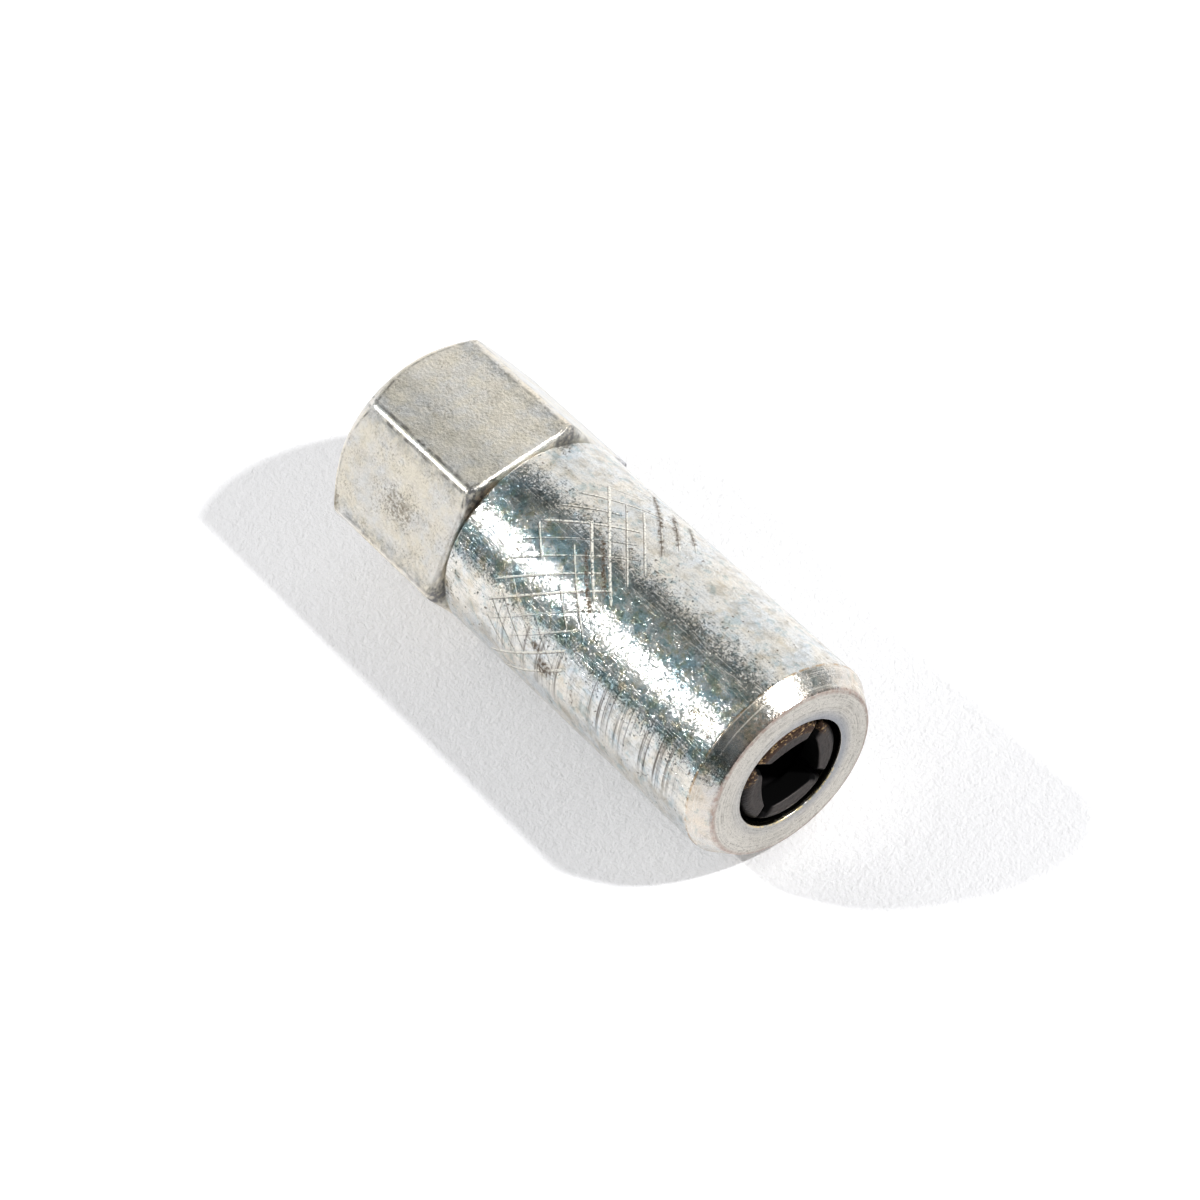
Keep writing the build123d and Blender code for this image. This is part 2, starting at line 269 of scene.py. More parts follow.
class Pattern:
    """A value, vector or colour over a surface: the output of a shader node, with sums and products."""

    def __init__(self, socket: bpy.types.NodeSocket) -> None:
        """Wraps a node's output."""
        self.socket = socket

    def beside(self, output: str) -> "Pattern":
        """Another output of the same node."""
        return Pattern(self.socket.node.outputs[output])

    def worked(self, operation: str, *others: "Pattern | float") -> "Pattern":
        """The result of one step of arithmetic on this pattern and the others."""
        tree = self.socket.id_data
        return add_node(tree, "Math", dict(enumerate((self, *others))), operation=operation)

    def __add__(self, other: "Pattern | float") -> "Pattern":
        """Sum."""
        return self.worked("ADD", other)

    def __mul__(self, other: "Pattern | float") -> "Pattern":
        """Product."""
        return self.worked("MULTIPLY", other)

    def __rsub__(self, other: float) -> "Pattern":
        """What is left of a number."""
        return self * -1.0 + other

    def __or__(self, other: "Pattern") -> "Pattern":
        """The larger of two patterns at each point."""
        return self.worked("MAXIMUM", other)

    def __abs__(self) -> "Pattern":
        """Distance from 0."""
        return self.worked("ABSOLUTE")

    def __pow__(self, power: float) -> "Pattern":
        """Power."""
        return self.worked("POWER", power)

    def eased(self, start: float, end: float, low: float = 0.0, high: float = 1.0) -> "Pattern":
        """Goes smoothly from low to high while this pattern goes from start to end, and holds outside."""
        links = {"Value": self, "From Min": start, "From Max": end, "To Min": low, "To Max": high}
        return add_node(self.socket.id_data, "MapRange", links, interpolation_type="SMOOTHSTEP")

    def fading(self, start: float, end: float) -> "Pattern":
        """Goes smoothly from 1 to 0 while this pattern goes from start to end."""
        return self.eased(start, end, low=1.0, high=0.0)

    def within(self, zone: Zone) -> "Pattern":
        """Rises from 0 to 1 over the zone's first two values and falls back over its last two."""
        return self.eased(zone[0], zone[1]) * self.fading(zone[2], zone[3])


def add_node(
    tree: bpy.types.NodeTree, kind: str, links: dict, out: int | str | None = 0, **settings
) -> Pattern | None:
    """Adds a shader node with its settings and links.

    Args:
        tree: the material's node tree.
        kind: the node's type without its ShaderNode prefix.
        links: for each input, by name or index, a value or the pattern that feeds it.
        out: which output to return, or None.
        settings: the node's own properties.

    Returns:
        The chosen output.
    """
    node = tree.nodes.new("ShaderNode" + kind)
    for name, value in settings.items():
        setattr(node, name, value)
    for key, value in links.items():
        if isinstance(value, Pattern):
            tree.links.new(value.socket, node.inputs[key])
        else:
            node.inputs[key].default_value = value
    return None if out is None else Pattern(node.outputs[out])


class Blend(Enum):
    """How a mask mixes a colour into another."""

    OVER = "MIX"
    DARKER = "MULTIPLY"


@dataclass(frozen=True)
class Clouds:
    """Random soft patches.

    Lumps lie size millimetres apart and have detail octaves of finer lumps on them. The seed moves them, and
    stretch packs them closer along x, y and z. Where the noise goes from start to end, the value goes from
    low to high.
    """

    size: float
    detail: float
    seed: float
    start: float
    end: float
    low: float = 0.0
    high: float = 1.0
    stretch: Place = EVEN


@dataclass(frozen=True)
class Coat:
    """A colour that lies over a finish in clouds, and only within its zone where it names one."""

    tone: str
    clouds: Clouds
    blend: Blend = Blend.DARKER
    zone: str = ""


class Finish:
    """A material in the making: its node tree, its Object coordinates in millimetres and what it adds up."""

    def __init__(self, name: str) -> None:
        """Starts the material under the finish's name."""
        self.material = bpy.data.materials.new(name)
        self.material.use_nodes = True
        self.tree = self.material.node_tree
        self.tree.nodes.clear()
        place = self.add("TexCoord", {}, "Object")
        self.place = self.add("VectorMath", {0: place, "Scale": 1 / MM}, operation="SCALE")
        self.x = self.add("SeparateXYZ", {0: self.place}, "X")
        self.y, self.z = self.x.beside("Y"), self.x.beside("Z")
        self.angle = (self.y * -1.0).worked("ARCTAN2", self.z).worked("DEGREES")
        flat = self.add("CombineXYZ", {0: self.y, 1: self.z})
        self.radius = self.add("VectorMath", {0: flat}, "Value", operation="LENGTH")
        self.height: Pattern | None = None
        self.normal: Pattern | None = None

    def add(self, kind: str, links: dict, out: int | str | None = 0, **settings) -> Pattern | None:
        """Adds a node to this material's tree, as add_node does."""
        return add_node(self.tree, kind, links, out, **settings)

    def noise(self, size: float, detail: float, seed: float = 0.0, stretch: Place = EVEN) -> Pattern:
        """Values about 0.5 in lumps, with size, detail, seed and stretch as Clouds has them."""
        links = {0: self.place, "Location": (seed, seed * 2, seed * 3), "Scale": stretch}
        place = self.add("Mapping", links)
        return self.add("TexNoise", {"Vector": place, "Scale": 1 / size, "Detail": detail, "Roughness": 0.6})

    def clouds(self, clouds: Clouds) -> Pattern:
        """Random soft patches."""
        noise = self.noise(clouds.size, clouds.detail, clouds.seed, clouds.stretch)
        return noise.eased(clouds.start, clouds.end, clouds.low, clouds.high)

    def turning(self, size: float, detail: float = 3.0, seed: float = 0.0) -> Pattern:
        """Marks of a lathe tool: a pattern that changes along the axis and the radius, hardly round them."""
        round_it = 0.002
        place = self.add("CombineXYZ", {0: self.x, 1: self.radius, 2: self.angle * round_it})
        moved = self.add("VectorMath", {0: place, 1: (seed, seed, seed)}, operation="ADD")
        return self.add("TexNoise", {"Vector": moved, "Scale": 1 / size, "Detail": detail, "Roughness": 0.7})

    def tint(
        self, mask: Pattern, below: Pattern | str, above: str, blend: Blend = Blend.OVER
    ) -> Pattern:
        """Mixes the hex colour above into the colour below, where the mask says."""
        links = {0: mask, 6: colour(below) if isinstance(below, str) else below, 7: colour(above)}
        return self.add("Mix", links, 2, data_type="RGBA", blend_type=blend.value)

    def coated(
        self, base: Pattern | str, coats: tuple[Coat, ...], zones: dict[str, Pattern] | None = None
    ) -> Pattern:
        """Lays coats of colour over a base in their order.

        Args:
            base: the colour below, a hex code or a pattern.
            coats: the coats.
            zones: a pattern for each zone that a coat names.

        Returns:
            The colour.
        """
        for coat in coats:
            mask = self.clouds(coat.clouds)
            if coat.zone:
                mask = zones[coat.zone] * mask
            base = self.tint(mask, base, coat.tone, coat.blend)
        return base

    def layer(self, name: str) -> Pattern:
        """A value stored on the mesh's points."""
        return self.add("Attribute", {}, "Fac", attribute_name=name)

    def raise_by(self, pattern: Pattern, millimetres: Pattern | float) -> None:
        """Adds a pattern, this many millimetres high, to the relief."""
        part = pattern * millimetres
        self.height = part if self.height is None else self.height + part

    def facets(self, size: float, tilt: Pattern) -> None:
        """Tilts the surface from crystal to crystal, most of them a little and a few far.

        Each crystal has a random vector, from -0.5 to 0.5 each way. It is scaled by the tilt and by the third
        power of its own length, and added to the surface's normal.

        Args:
            size: crystal size in millimetres.
            tilt: the scale.
        """
        cell = self.add("TexVoronoi", {"Vector": self.place, "Scale": 1 / size}, "Color")
        vector = self.add("VectorMath", {0: cell, 1: (-0.5, -0.5, -0.5)}, operation="ADD")
        length = self.add("VectorMath", {0: vector}, "Value", operation="LENGTH")
        turned = self.add("VectorMath", {0: vector, "Scale": length**3.0 * tilt}, operation="SCALE")
        level = self.add("NewGeometry", {}, "Normal")
        self.normal = self.add("VectorMath", {0: level, 1: turned}, operation="ADD")
        self.normal = self.add("VectorMath", {0: self.normal}, operation="NORMALIZE")

    def relief(self) -> Pattern:
        """The surface's normal with the crystals and the relief."""
        links = {"Strength": 1.0, "Distance": MM, "Height": self.height}
        if self.normal is not None:
            links["Normal"] = self.normal
        return self.add("Bump", links)

    def close(
        self, base: Pattern, metallic: Pattern | float, roughness: Pattern, **fixed: float
    ) -> Material:
        """Ends the material in a Principled shader.

        Args:
            base: base colour.
            metallic: a value or a pattern.
            roughness: a pattern.
            fixed: further sockets that hold one value all over, with underscores for spaces.

        Returns:
            The material.
        """
        links = {"Base Color": base, "Metallic": metallic, "Roughness": roughness, "Normal": self.relief()}
        links |= {name.replace("_", " "): value for name, value in fixed.items()}
        self.add("OutputMaterial", {0: self.add("BsdfPrincipled", links)}, None)
        return self.material


@dataclass(frozen=True)
class LineFamily:
    """Lines rolled into the barrel that wind one way round it.

    A line's angle is its start angle plus the lead times the distance from the band's start. The lines that
    stand out are given in marked, by number: depth from 0 to 1, start and end along the axis.
    """

    layer: str
    count: int
    first_angle: float
    lead: float
    band_start: float
    radius: float
    marked: dict[int, Place]
    seed: int
    fade: float = 0.25

    def lines(self) -> Grid:
        """Depth, start and end along the axis of each line, most drawn by chance from a fixed seed."""
        depths, starts, ends = (0.25, 0.9), (-0.2, 1.6), (4.0, 8.2)
        chance = np.random.default_rng(self.seed)
        depth = chance.uniform(*depths, self.count)
        start = self.band_start + chance.uniform(*starts, self.count)
        end = self.band_start + chance.uniform(*ends, self.count)
        table = np.stack([depth, start, end], -1)
        for number, facts in self.marked.items():
            table[number % self.count] = facts
        return table

    def offset(self, x: Grid, angle: Grid) -> tuple[Grid, Grid]:
        """Number of the nearest line, and how far a point lies from it across the line, in millimetres."""
        spacing = 360 / self.count
        turns = (angle - self.first_angle - self.lead * (x - self.band_start)) / spacing
        nearest = np.round(turns)
        return nearest.astype(int) % self.count, (turns - nearest) * self.across()

    def across(self) -> float:
        """Distance between two lines, square to them, in millimetres."""
        arc_per_degree = math.radians(1) * self.radius
        slope = math.atan(abs(self.lead) * arc_per_degree)
        return 360 / self.count * arc_per_degree * math.cos(slope)

    def strength(self, x: Grid, angle: Grid) -> Grid:
        """Depth of the nearest line at each point, fading out at the line's ends."""
        number, _ = self.offset(x, angle)
        depth, start, end = np.moveaxis(self.lines()[number], -1, 0)
        return depth * eased(x - start, 0, self.fade) * (1 - eased(x - end, -self.fade, 0))

    def drawn_offset(self, finish: Finish) -> Pattern:
        """The same distance from the nearest line, worked out in a material."""
        spacing = 360 / self.count
        start = (self.lead * self.band_start - self.first_angle) / spacing
        turns = finish.angle * (1 / spacing) + start + finish.x * (-self.lead / spacing)
        return turns.worked("WRAP", 0.5, -0.5) * self.across()


@dataclass(frozen=True)
class BarrelPlaces:
    """Where the barrel's parts lie along the axis, and the radius of the edge between bevel and face."""

    rear: float
    bevel_start: float
    face: float
    rim_radius: float


@dataclass(frozen=True)
class BrightZinc:
    """Turned steel with bright zinc plating.

    The eye reads a dull mirror broken up by a fine crystal grain: each edge of what it mirrors dissolves into
    specks. The passivating film is teal and straw in clouds, painted stronger beside the lamp's mirrored
    stripe as a painted sheen. Dirt sits beside the rolled lines and was wiped round the barrel in streaks.
    The crystals are drawn some ten times coarser than real ones, because those would be too fine to show.
    """

    name: str = "bright_zinc_on_turned_steel"
    cool: str = "#E0E5E8"
    wiped: str = "#6C645E"
    # Dirt colour, also used for the painted shade in the rolled grooves.
    dirt: str = "#5E5040"
    burr: str = "#FFFBEF"
    # Near white for painted highlights: on the rolled lines' pushed-up metal and on the bevel's tool cuts.
    rim: str = "#9C8378"
    face_tone: str = "#DAD6CE"
    face_mark: str = "#8E8A85"
    bevel_tone: str = "#F7F0EA"
    bevel_dirt: str = "#A09080"
    # Colour of the painted shade round the mouth.
    mouth_edge: str = "#8A909C"
    inside: str = "#5A5648"
    gold: str = "#B08C58"
    # Colour of the painted highlight along the lower lip of the mouth.
    lip_painted_highlight: str = "#F0D9A4"
    coats: tuple[Coat, ...] = (
        Coat("#EEE9DE", Clouds(2.6, 5.0, 0.0, 0.36, 0.64), Blend.OVER),
        Coat("#E9E6DF", Clouds(1.2, 4.0, 7.0, 0.35, 0.65, high=0.6), Blend.OVER),
        Coat("#9FC4D2", Clouds(0.9, 5.0, 61.0, 0.52, 0.66, high=0.42)),
        Coat("#DAC8A2", Clouds(1.1, 5.0, 63.0, 0.54, 0.70, high=0.3)),
        # Painted sheen: these two film coats lie only beside the lamp's mirrored stripe.
        Coat("#A0D2DE", Clouds(0.9, 6.0, 65.0, 0.43, 0.60, high=0.6), zone="painted_sheen_beside_glare"),
        Coat("#ECDCA8", Clouds(0.8, 6.0, 67.0, 0.48, 0.62, high=0.5), zone="painted_sheen_beside_glare"),
        Coat("#C6BFB2", Clouds(1.1, 7.0, 27.0, 0.46, 0.70, high=0.6)),
    )
    marks: tuple[Coat, ...] = (
        Coat("#8E9092", Clouds(0.08, 3.0, 33.0, 0.42, 0.72, high=0.35)),
        # Tarnished spots, partly painted dark reflections of the surroundings.
        Coat("#4F5961", Clouds(0.3, 5.0, 35.0, 0.35, 0.65, 0.3), zone="tarnish_and_painted_reflection"),
    )
    # Angles beside the lamp's mirrored stripe where the film is painted stronger as a sheen.
    below_glare: Zone = (40.0, 44.0, 54.0, 60.0)
    above_glare: Zone = (8.0, 16.0, 26.0, 30.0)
    crystal_mm: float = 0.12
    crystal_tilt: float = 1.25
    grain: tuple[tuple[float, ...], ...] = (
        (0.2, 3.0, 3.0, 0.012),
        (0.11, 2.0, 47.0, 0.0095),
        (0.7, 1.0, 11.0, 0.012),
    )
    scratch: Clouds = Clouds(0.13, 2.0, 51.0, 0.56, 0.66, stretch=(0.09, 1.0, 1.0))
    scratch_height: float = 0.010
    smoothest: float = 0.14
    roughest: float = 0.21

    def plating(self, made: Finish, on_face: Pattern) -> Pattern:
        """Colour of the plating: clouds, film with a painted sheen beside the glare, fine dark specks,
        tarnished spots that are partly painted dark reflections, and dirt wiped into streaks.
        """
        # Where the film's painted sheen lies: beside the lamp's mirrored stripe.
        painted_sheen_beside_glare = made.angle.within(self.below_glare) + made.angle.within(self.above_glare)
        base = made.coated(self.cool, self.coats, {"painted_sheen_beside_glare": painted_sheen_beside_glare})
        base = made.tint(on_face, base, self.face_tone)
        base = made.coated(base, self.marks, {"tarnish_and_painted_reflection": made.layer("tarnish_and_painted_reflection")})
        streaks = made.turning(0.3, 4.0, 6.0).eased(0.46, 0.66)
        return made.tint(made.layer("wiped") * streaks, base, self.wiped, Blend.DARKER)

    def crystals(self, made: Finish, on_bevel: Pattern, on_barrel: Pattern) -> None:
        """Relief of the plating: crystals, two sizes of grain, slow waves and scratches along the barrel.

        The grain is given by its size in millimetres, detail, seed and height in millimetres.
        """
        made.facets(self.crystal_mm, on_bevel.eased(0.0, 1.0, self.crystal_tilt, 0.5 * self.crystal_tilt))
        for size, detail, seed, height in self.grain:
            made.raise_by(made.noise(size, detail, seed), height)
        made.raise_by(made.clouds(self.scratch) * on_barrel, self.scratch_height)

    def rolled(
        self, made: Finish, families: tuple[LineFamily, ...], base: Pattern
    ) -> tuple[Pattern, Pattern]:
        """Draws the rolled lines: a groove darkened as painted shade, and beside it the metal it pushed up,
        broken and painted near white as a painted highlight.

        Returns:
            The base colour with the lines, and where they lie.
        """
        half_groove, aside, shoulder = 0.06, 0.09, 0.35
        groove_depth, shoulder_depth, burr_height = -0.035, -0.02, 0.012
        broken = made.clouds(Clouds(0.14, 4.0, 41.0, 0.38, 0.56, 0.1))
        lines = None
        for family in families:
            offset = family.drawn_offset(made)
            depth = made.layer(family.layer)
            distance = abs(offset)
            groove = distance.fading(0.0, half_groove) * depth
            half_ridge = depth**3.0 * 0.10 + 0.03
            ridge = abs(offset + aside).fading(half_ridge * 0.4, half_ridge) * depth * broken
            made.raise_by(groove, groove_depth)
            made.raise_by(ridge, burr_height)
            made.raise_by(distance.fading(0.0, shoulder) * depth, shoulder_depth)
            # Painted shade: the groove is darkened with the dirt colour.
            base = made.tint(groove * 0.8, base, self.dirt)
            # Painted highlight: the pushed-up metal is painted near white.
            base = made.tint(ridge, base, self.burr)
            lines = ridge if lines is None else lines | ridge
        return base, lines

    def bevel(self, made: Finish, bevel_only: Pattern, base: Pattern) -> tuple[Pattern, Pattern]:
        """Colours the nose's bevel: paler, brown with dirt where the hand holds it, with tool cuts painted
        near white as painted glints.

        Returns:
            The base colour, and how far dirt and cuts dull the mirror.
        """
        base = made.tint(bevel_only, base, self.bevel_tone, Blend.DARKER)
        low = made.angle.within((6.0, 14.0, 20.0, 44.0))
        dirty = low * bevel_only * made.clouds(Clouds(0.25, 5.0, 53.0, 0.35, 0.6, 0.1, 0.8))
        base = made.tint(dirty, base, self.bevel_dirt)
        # Painted glints: the tool cuts are painted near white and made less metallic.
        cut = bevel_only * made.turning(0.14, 2.0, 8.0).eased(0.56, 0.68, 0.0, 0.4)
        made.raise_by(made.turning(0.12, 2.0), bevel_only * 0.028 + 0.0008)
        return made.tint(cut, base, self.burr), dirty * 0.45 + cut * 0.8

    def nose_face(self, made: Finish, on_face: Pattern, base: Pattern) -> Pattern:
        """Colours the nose's flat face: rings of the facing tool, and small pits."""
        rings = made.turning(0.10, seed=4.0).eased(0.44, 0.64)
        rings = rings * made.clouds(Clouds(0.4, 4.0, 0.0, 0.35, 0.65, 0.1, 0.6))
        base = made.tint(on_face * rings, base, self.face_mark, Blend.DARKER)
        pits = made.clouds(Clouds(0.14, 4.0, 55.0, 0.56, 0.68, high=0.5))
        return made.tint(on_face * pits, base, self.dirt, Blend.DARKER)

    def edges(self, made: Finish, on_face: Pattern, barrel: BarrelPlaces, base: Pattern) -> Pattern:
        """Colours the edges: the worn rim, the painted shade round the mouth, a painted gold highlight along
        the lower lip of the mouth, and the shoulder.
        """
        face = barrel.face
        rim = abs(made.radius + -barrel.rim_radius).fading(0.05, 0.32)
        rim = rim * made.x.eased(face - 0.35, face - 0.1)
        rim = rim * made.clouds(Clouds(0.35, 3.0, 9.0, 0.35, 0.6, 0.35))
        base = made.tint(rim * 0.75, base, self.rim)
        # Painted shade round the mouth, stronger on its right side.
        shaded = on_face * made.radius.eased(4.32, 5.3, 0.7, 0.0) * made.y.eased(-3.0, 3.0, 0.35, 1.0)
        base = made.tint(shaded, base, self.mouth_edge)
        # Painted highlight: a gold line along the lower lip of the mouth only.
        lip = made.radius.fading(4.31, 4.38) * made.x.eased(face - 0.22, face - 0.12)
        lip = lip * made.z.fading(-3.2, -1.6) * made.clouds(Clouds(0.25, 3.0, 57.0, 0.4, 0.55))
        base = made.tint(lip, base, self.lip_painted_highlight)
        shoulder = abs(made.x + -barrel.bevel_start).fading(0.03, 0.11)
        shoulder = shoulder * made.clouds(Clouds(0.5, 3.0, 43.0, 0.4, 0.6))
        return made.tint(shoulder * 0.7, base, self.gold)

    def smeared(self, made: Finish, on_barrel: Pattern) -> Pattern:
        """Where dirt lies: in torn smears, and in single specks all over the barrel."""
        torn = made.layer("smear") + made.noise(0.45, 5.0, 2.0, (1.6, 0.8, 0.8))
        smear = torn.eased(1.0, 1.3) * made.clouds(Clouds(0.2, 4.0, 45.0, 0.40, 0.56, 0.25))
        specks = made.clouds(Clouds(0.35, 1.0, 21.0, 0.70, 0.76, high=0.8))
        return smear | specks * on_barrel

    def build(self, families: tuple[LineFamily, ...], barrel: BarrelPlaces) -> Material:
        """Makes the material.

        Args:
            families: the rolled lines, drawn finer here than the mesh can hold them.
            barrel: where the barrel's parts lie.

        Returns:
            The material.
        """
        made = Finish(self.name)
        face = barrel.face
        on_bevel = made.x.eased(barrel.bevel_start - 0.03, barrel.bevel_start + 0.03)
        on_face = made.x.eased(face - 0.08, face - 0.02)
        on_barrel, bevel_only = 1.0 - on_bevel, on_bevel * (1.0 - on_face)
        base = self.plating(made, on_face)
        self.crystals(made, on_bevel, on_barrel)
        base, dulled = self.bevel(made, bevel_only, base)
        base, lines = self.rolled(made, families, base)
        base = self.nose_face(made, on_face, base)
        base = self.edges(made, on_face, barrel, base)
        smear = self.smeared(made, on_barrel)
        base = made.tint(smear, base, self.dirt)
        joint = made.x.fading(barrel.rear + 0.1, barrel.rear + 0.4)
        joint = joint * made.angle.within((12.0, 26.0, 36.0, 48.0))
        base = made.tint(joint * 0.8, base, self.gold)
        hollow = made.radius.fading(6.0, 6.4) * made.x.fading(face - 0.25, face - 0.05)
        base = made.tint(hollow, base, self.inside)
        roughness = made.noise(0.5, 2.0, 5.0).eased(0.3, 0.7, self.smoothest, self.roughest)
        roughness = roughness + lines * 0.3 + on_bevel * 0.07 + on_face * 0.14 + smear * 0.3
        # Less metal on the lines and cuts lets their near-white painted highlights show.
        metallic = smear.eased(0.0, 1.0, 1.0, 0.55) + lines * -0.9 + dulled * -1.0
        return made.close(base, metallic, roughness)


@dataclass(frozen=True)
class DrawnZinc:
    """Drawn hexagon bar with dull zinc plating, turned at its rear end.

    The eye reads fine cast-like grain all over, even in every direction, with soft brown and grey mottling
    and no clear mirror image. The rear face and the inlet show the rings of the lathe tool instead, drawn
    coarser than real ones so that they can be seen.
    """

    name: str = "zinc_on_drawn_hexagon_bar"
    cool: str = "#ECEAE6"
    mottle: str = "#B4AFA4"
    # Colour of the painted dark reflection beside the edges and on the top flat.
    painted_dark_reflection_by_edge: str = "#A9AEB2"
    # Dark edge lines, partly painted dark reflection beside the seen corner's highlight.
    outline: str = "#4E4A48"
    stain: str = "#786A52"
    far_tone: str = "#F1F6FE"
    cut_metal: str = "#77777A"
    coats: tuple[Coat, ...] = (
        Coat("#F3EBDA", Clouds(2.2, 4.0, 0.0, 0.38, 0.62), Blend.OVER),
        Coat("#F2EBDF", Clouds(1.1, 3.0, 15.0, 0.35, 0.65, high=0.6), Blend.OVER),
        Coat("#B4AFA4", Clouds(1.0, 7.0, 4.0, 0.46, 0.72, high=0.25)),
        Coat("#9A9080", Clouds(0.16, 4.0, 75.0, 0.46, 0.68, high=0.55), zone="groups"),
    )
    groups: Clouds = Clouds(1.3, 5.0, 79.0, 0.4, 0.62, 0.15)
    peel_mm: float = 0.24
    peel_height: float = 0.062
    grain_mm: float = 0.10
    grain_height: float = 0.012
    ring_mm: float = 0.2
    ring_height: float = 0.10

    def turned(self, made: Finish) -> Pattern:
        """Where the lathe cut: on the rear face, and within the hexagon's bore and neck."""
        return made.x.fading(0.02, 0.12) | made.radius.fading(5.6, 6.0)

    def shaded_edges(self, made: Finish, from_edge: Pattern, from_end: Pattern, base: Pattern) -> Pattern:
        """Darkens the flats beside their edges, and the top flat towards the seen corner: painted dark
        reflection.
        Draws the broken dark line where a flat ends, strongest beside the seen corner's highlight: partly
        painted dark reflection.
        """
        # Painted dark reflection on the flats beside their edges.
        band = from_edge.fading(0.1, 1.3) * made.clouds(Clouds(0.7, 4.0, 71.0, 0.35, 0.65))
        band = band * from_edge.eased(-0.08, 0.04)
        # Painted dark reflection on the top flat towards the seen corner.
        upper = made.angle.within((-4.0, 14.0, 26.0, 30.0))
        upper = upper * made.clouds(Clouds(0.9, 5.0, 77.0, 0.3, 0.7, 0.35, 0.85))
        base = made.tint((band | upper) * 0.62, base, self.painted_dark_reflection_by_edge, Blend.DARKER)
        # Dark lines where the flats end, strongest beside the seen corner's highlight: partly painted dark
        # reflection.
        line = from_edge.within((-0.22, -0.12, 0.0, 0.14)) | from_end.within((0.08, 0.15, 0.2, 0.32))
        seen_corner = made.angle.within((12.0, 18.0, 40.0, 46.0))
        line = line * seen_corner.eased(0.0, 1.0, 0.55, 1.0)
        line = line * made.clouds(Clouds(0.8, 6.0, 73.0, 0.36, 0.62, high=0.75))
        return made.tint(line, base, self.outline)

    def build(self) -> Material:
        """Makes the material, which reads where the front bevels, the edges and the stains lie."""
        made = Finish(self.name)
        from_edge, from_end, cut = made.layer("from_edge"), made.layer("from_end"), made.layer("bevel")
        base = made.coated(self.cool, self.coats, {"groups": made.clouds(self.groups)})
        base = self.shaded_edges(made, from_edge, from_end, base)
        base = made.tint(made.angle.within((-95.0, -88.0, -35.0, -30.0)), base, self.far_tone, Blend.DARKER)
        torn = made.layer("smear") * 0.36 + made.noise(0.22, 8.0, 6.0)
        stain = torn.eased(0.70, 0.90, 0.0, 0.7)
        base = made.tint(stain, base, self.stain)
        turned = self.turned(made)
        rings = turned * made.turning(0.24, seed=5.0).eased(0.44, 0.64, 0.0, 0.5)
        base = made.tint(rings, base, self.mottle, Blend.DARKER)
        left_rough = from_edge.eased(-0.14, 0.02, 0.2, 1.0) * turned.eased(0.0, 1.0, 1.0, 0.2)
        made.raise_by((made.noise(self.peel_mm, 3.0, 1.0) + -0.5) * left_rough, self.peel_height)
        made.raise_by(made.turning(self.ring_mm, seed=2.0) * turned, self.ring_height)
        made.raise_by(made.noise(self.grain_mm, 2.0, 9.0), self.grain_height)
        made.raise_by(made.noise(0.25, 4.0, 17.0) * cut, 0.09)
        base = made.tint(cut * made.clouds(Clouds(0.4, 4.0, 19.0, 0.4, 0.6, 0.2, 0.9)), base, self.cut_metal)
        roughness = made.noise(0.6, 3.0, 8.0).eased(0.3, 0.7, 0.32, 0.44)
        return made.close(base, stain.eased(0.0, 1.0, 0.85, 0.4), roughness)


@dataclass(frozen=True)
class BlackOxide:
    """Hardened steel with black oxide, oiled.

    The eye reads dull dark grey end faces, black inner walls, whose black is painted shade, and rough front
    edges, on the upper jaws brown with gold specks, painted light and painted glints.
    """

    name: str = "black_oxide_on_hardened_steel"
    dark: str = "#232223"
    light: str = "#2E2C2C"
    rubbed: str = "#4B4644"
    # Painted light on the upper jaws' front edges: brown, with gold specks as painted glints.
    brown: str = "#46342A"
    gold: str = "#D2B080"
    # Painted shade: near black for the jaws' inner walls.
    wall: str = "#030303"
    specular: float = 0.08

    def build(self, wall_radius: float, front: float) -> Material:
        """Makes the material, which reads where the mesh is rounded and where it is an end face.

        Args:
            wall_radius: radius within which the jaws' walls are painted black as painted shade.
            front: where the jaws' end faces lie.

        Returns:
            The material.
        """
        made = Finish(self.name)
        grain = made.noise(0.18, 3.0)
        face, edge = made.layer("end_face"), made.layer("edge")
        base = made.tint(made.clouds(Clouds(0.6, 3.0, 2.0, 0.35, 0.65)), self.dark, self.light)
        base = made.tint(face * grain.eased(0.3, 0.62, 0.5, 1.0), base, self.rubbed)
        # Painted light: only the upper jaws' front edges are browned.
        lit = edge * made.z.eased(1.0, 2.4)
        base = made.tint(lit * 0.8, base, self.brown)
        # Painted glints: gold specks in groups on those edges.
        glint = lit * made.clouds(Clouds(0.8, 2.0, 8.0, 0.4, 0.6))
        glint = glint * made.clouds(Clouds(0.16, 5.0, 5.0, 0.50, 0.66, stretch=(1.0, 0.5, 1.0)))
        base = made.tint(glint, base, self.gold)
        made.raise_by(grain, 0.02)
        made.raise_by(edge * made.noise(0.2, 3.0, 6.0), 0.07)
        # Painted shade: the inner walls behind the front are painted black, dull and not metallic.
        painted_shade_inside = made.radius.fading(wall_radius, wall_radius + 0.15)
        painted_shade_inside = painted_shade_inside * made.x.fading(front - 0.16, front - 0.08)
        base = made.tint(painted_shade_inside, base, self.wall)
        roughness = face.eased(0.0, 1.0, 0.34, 0.5) + painted_shade_inside * 0.6
        metallic = painted_shade_inside.eased(0.0, 1.0, 0.85, 0.0)
        return made.close(base, metallic, roughness, Specular_IOR_Level=self.specular)


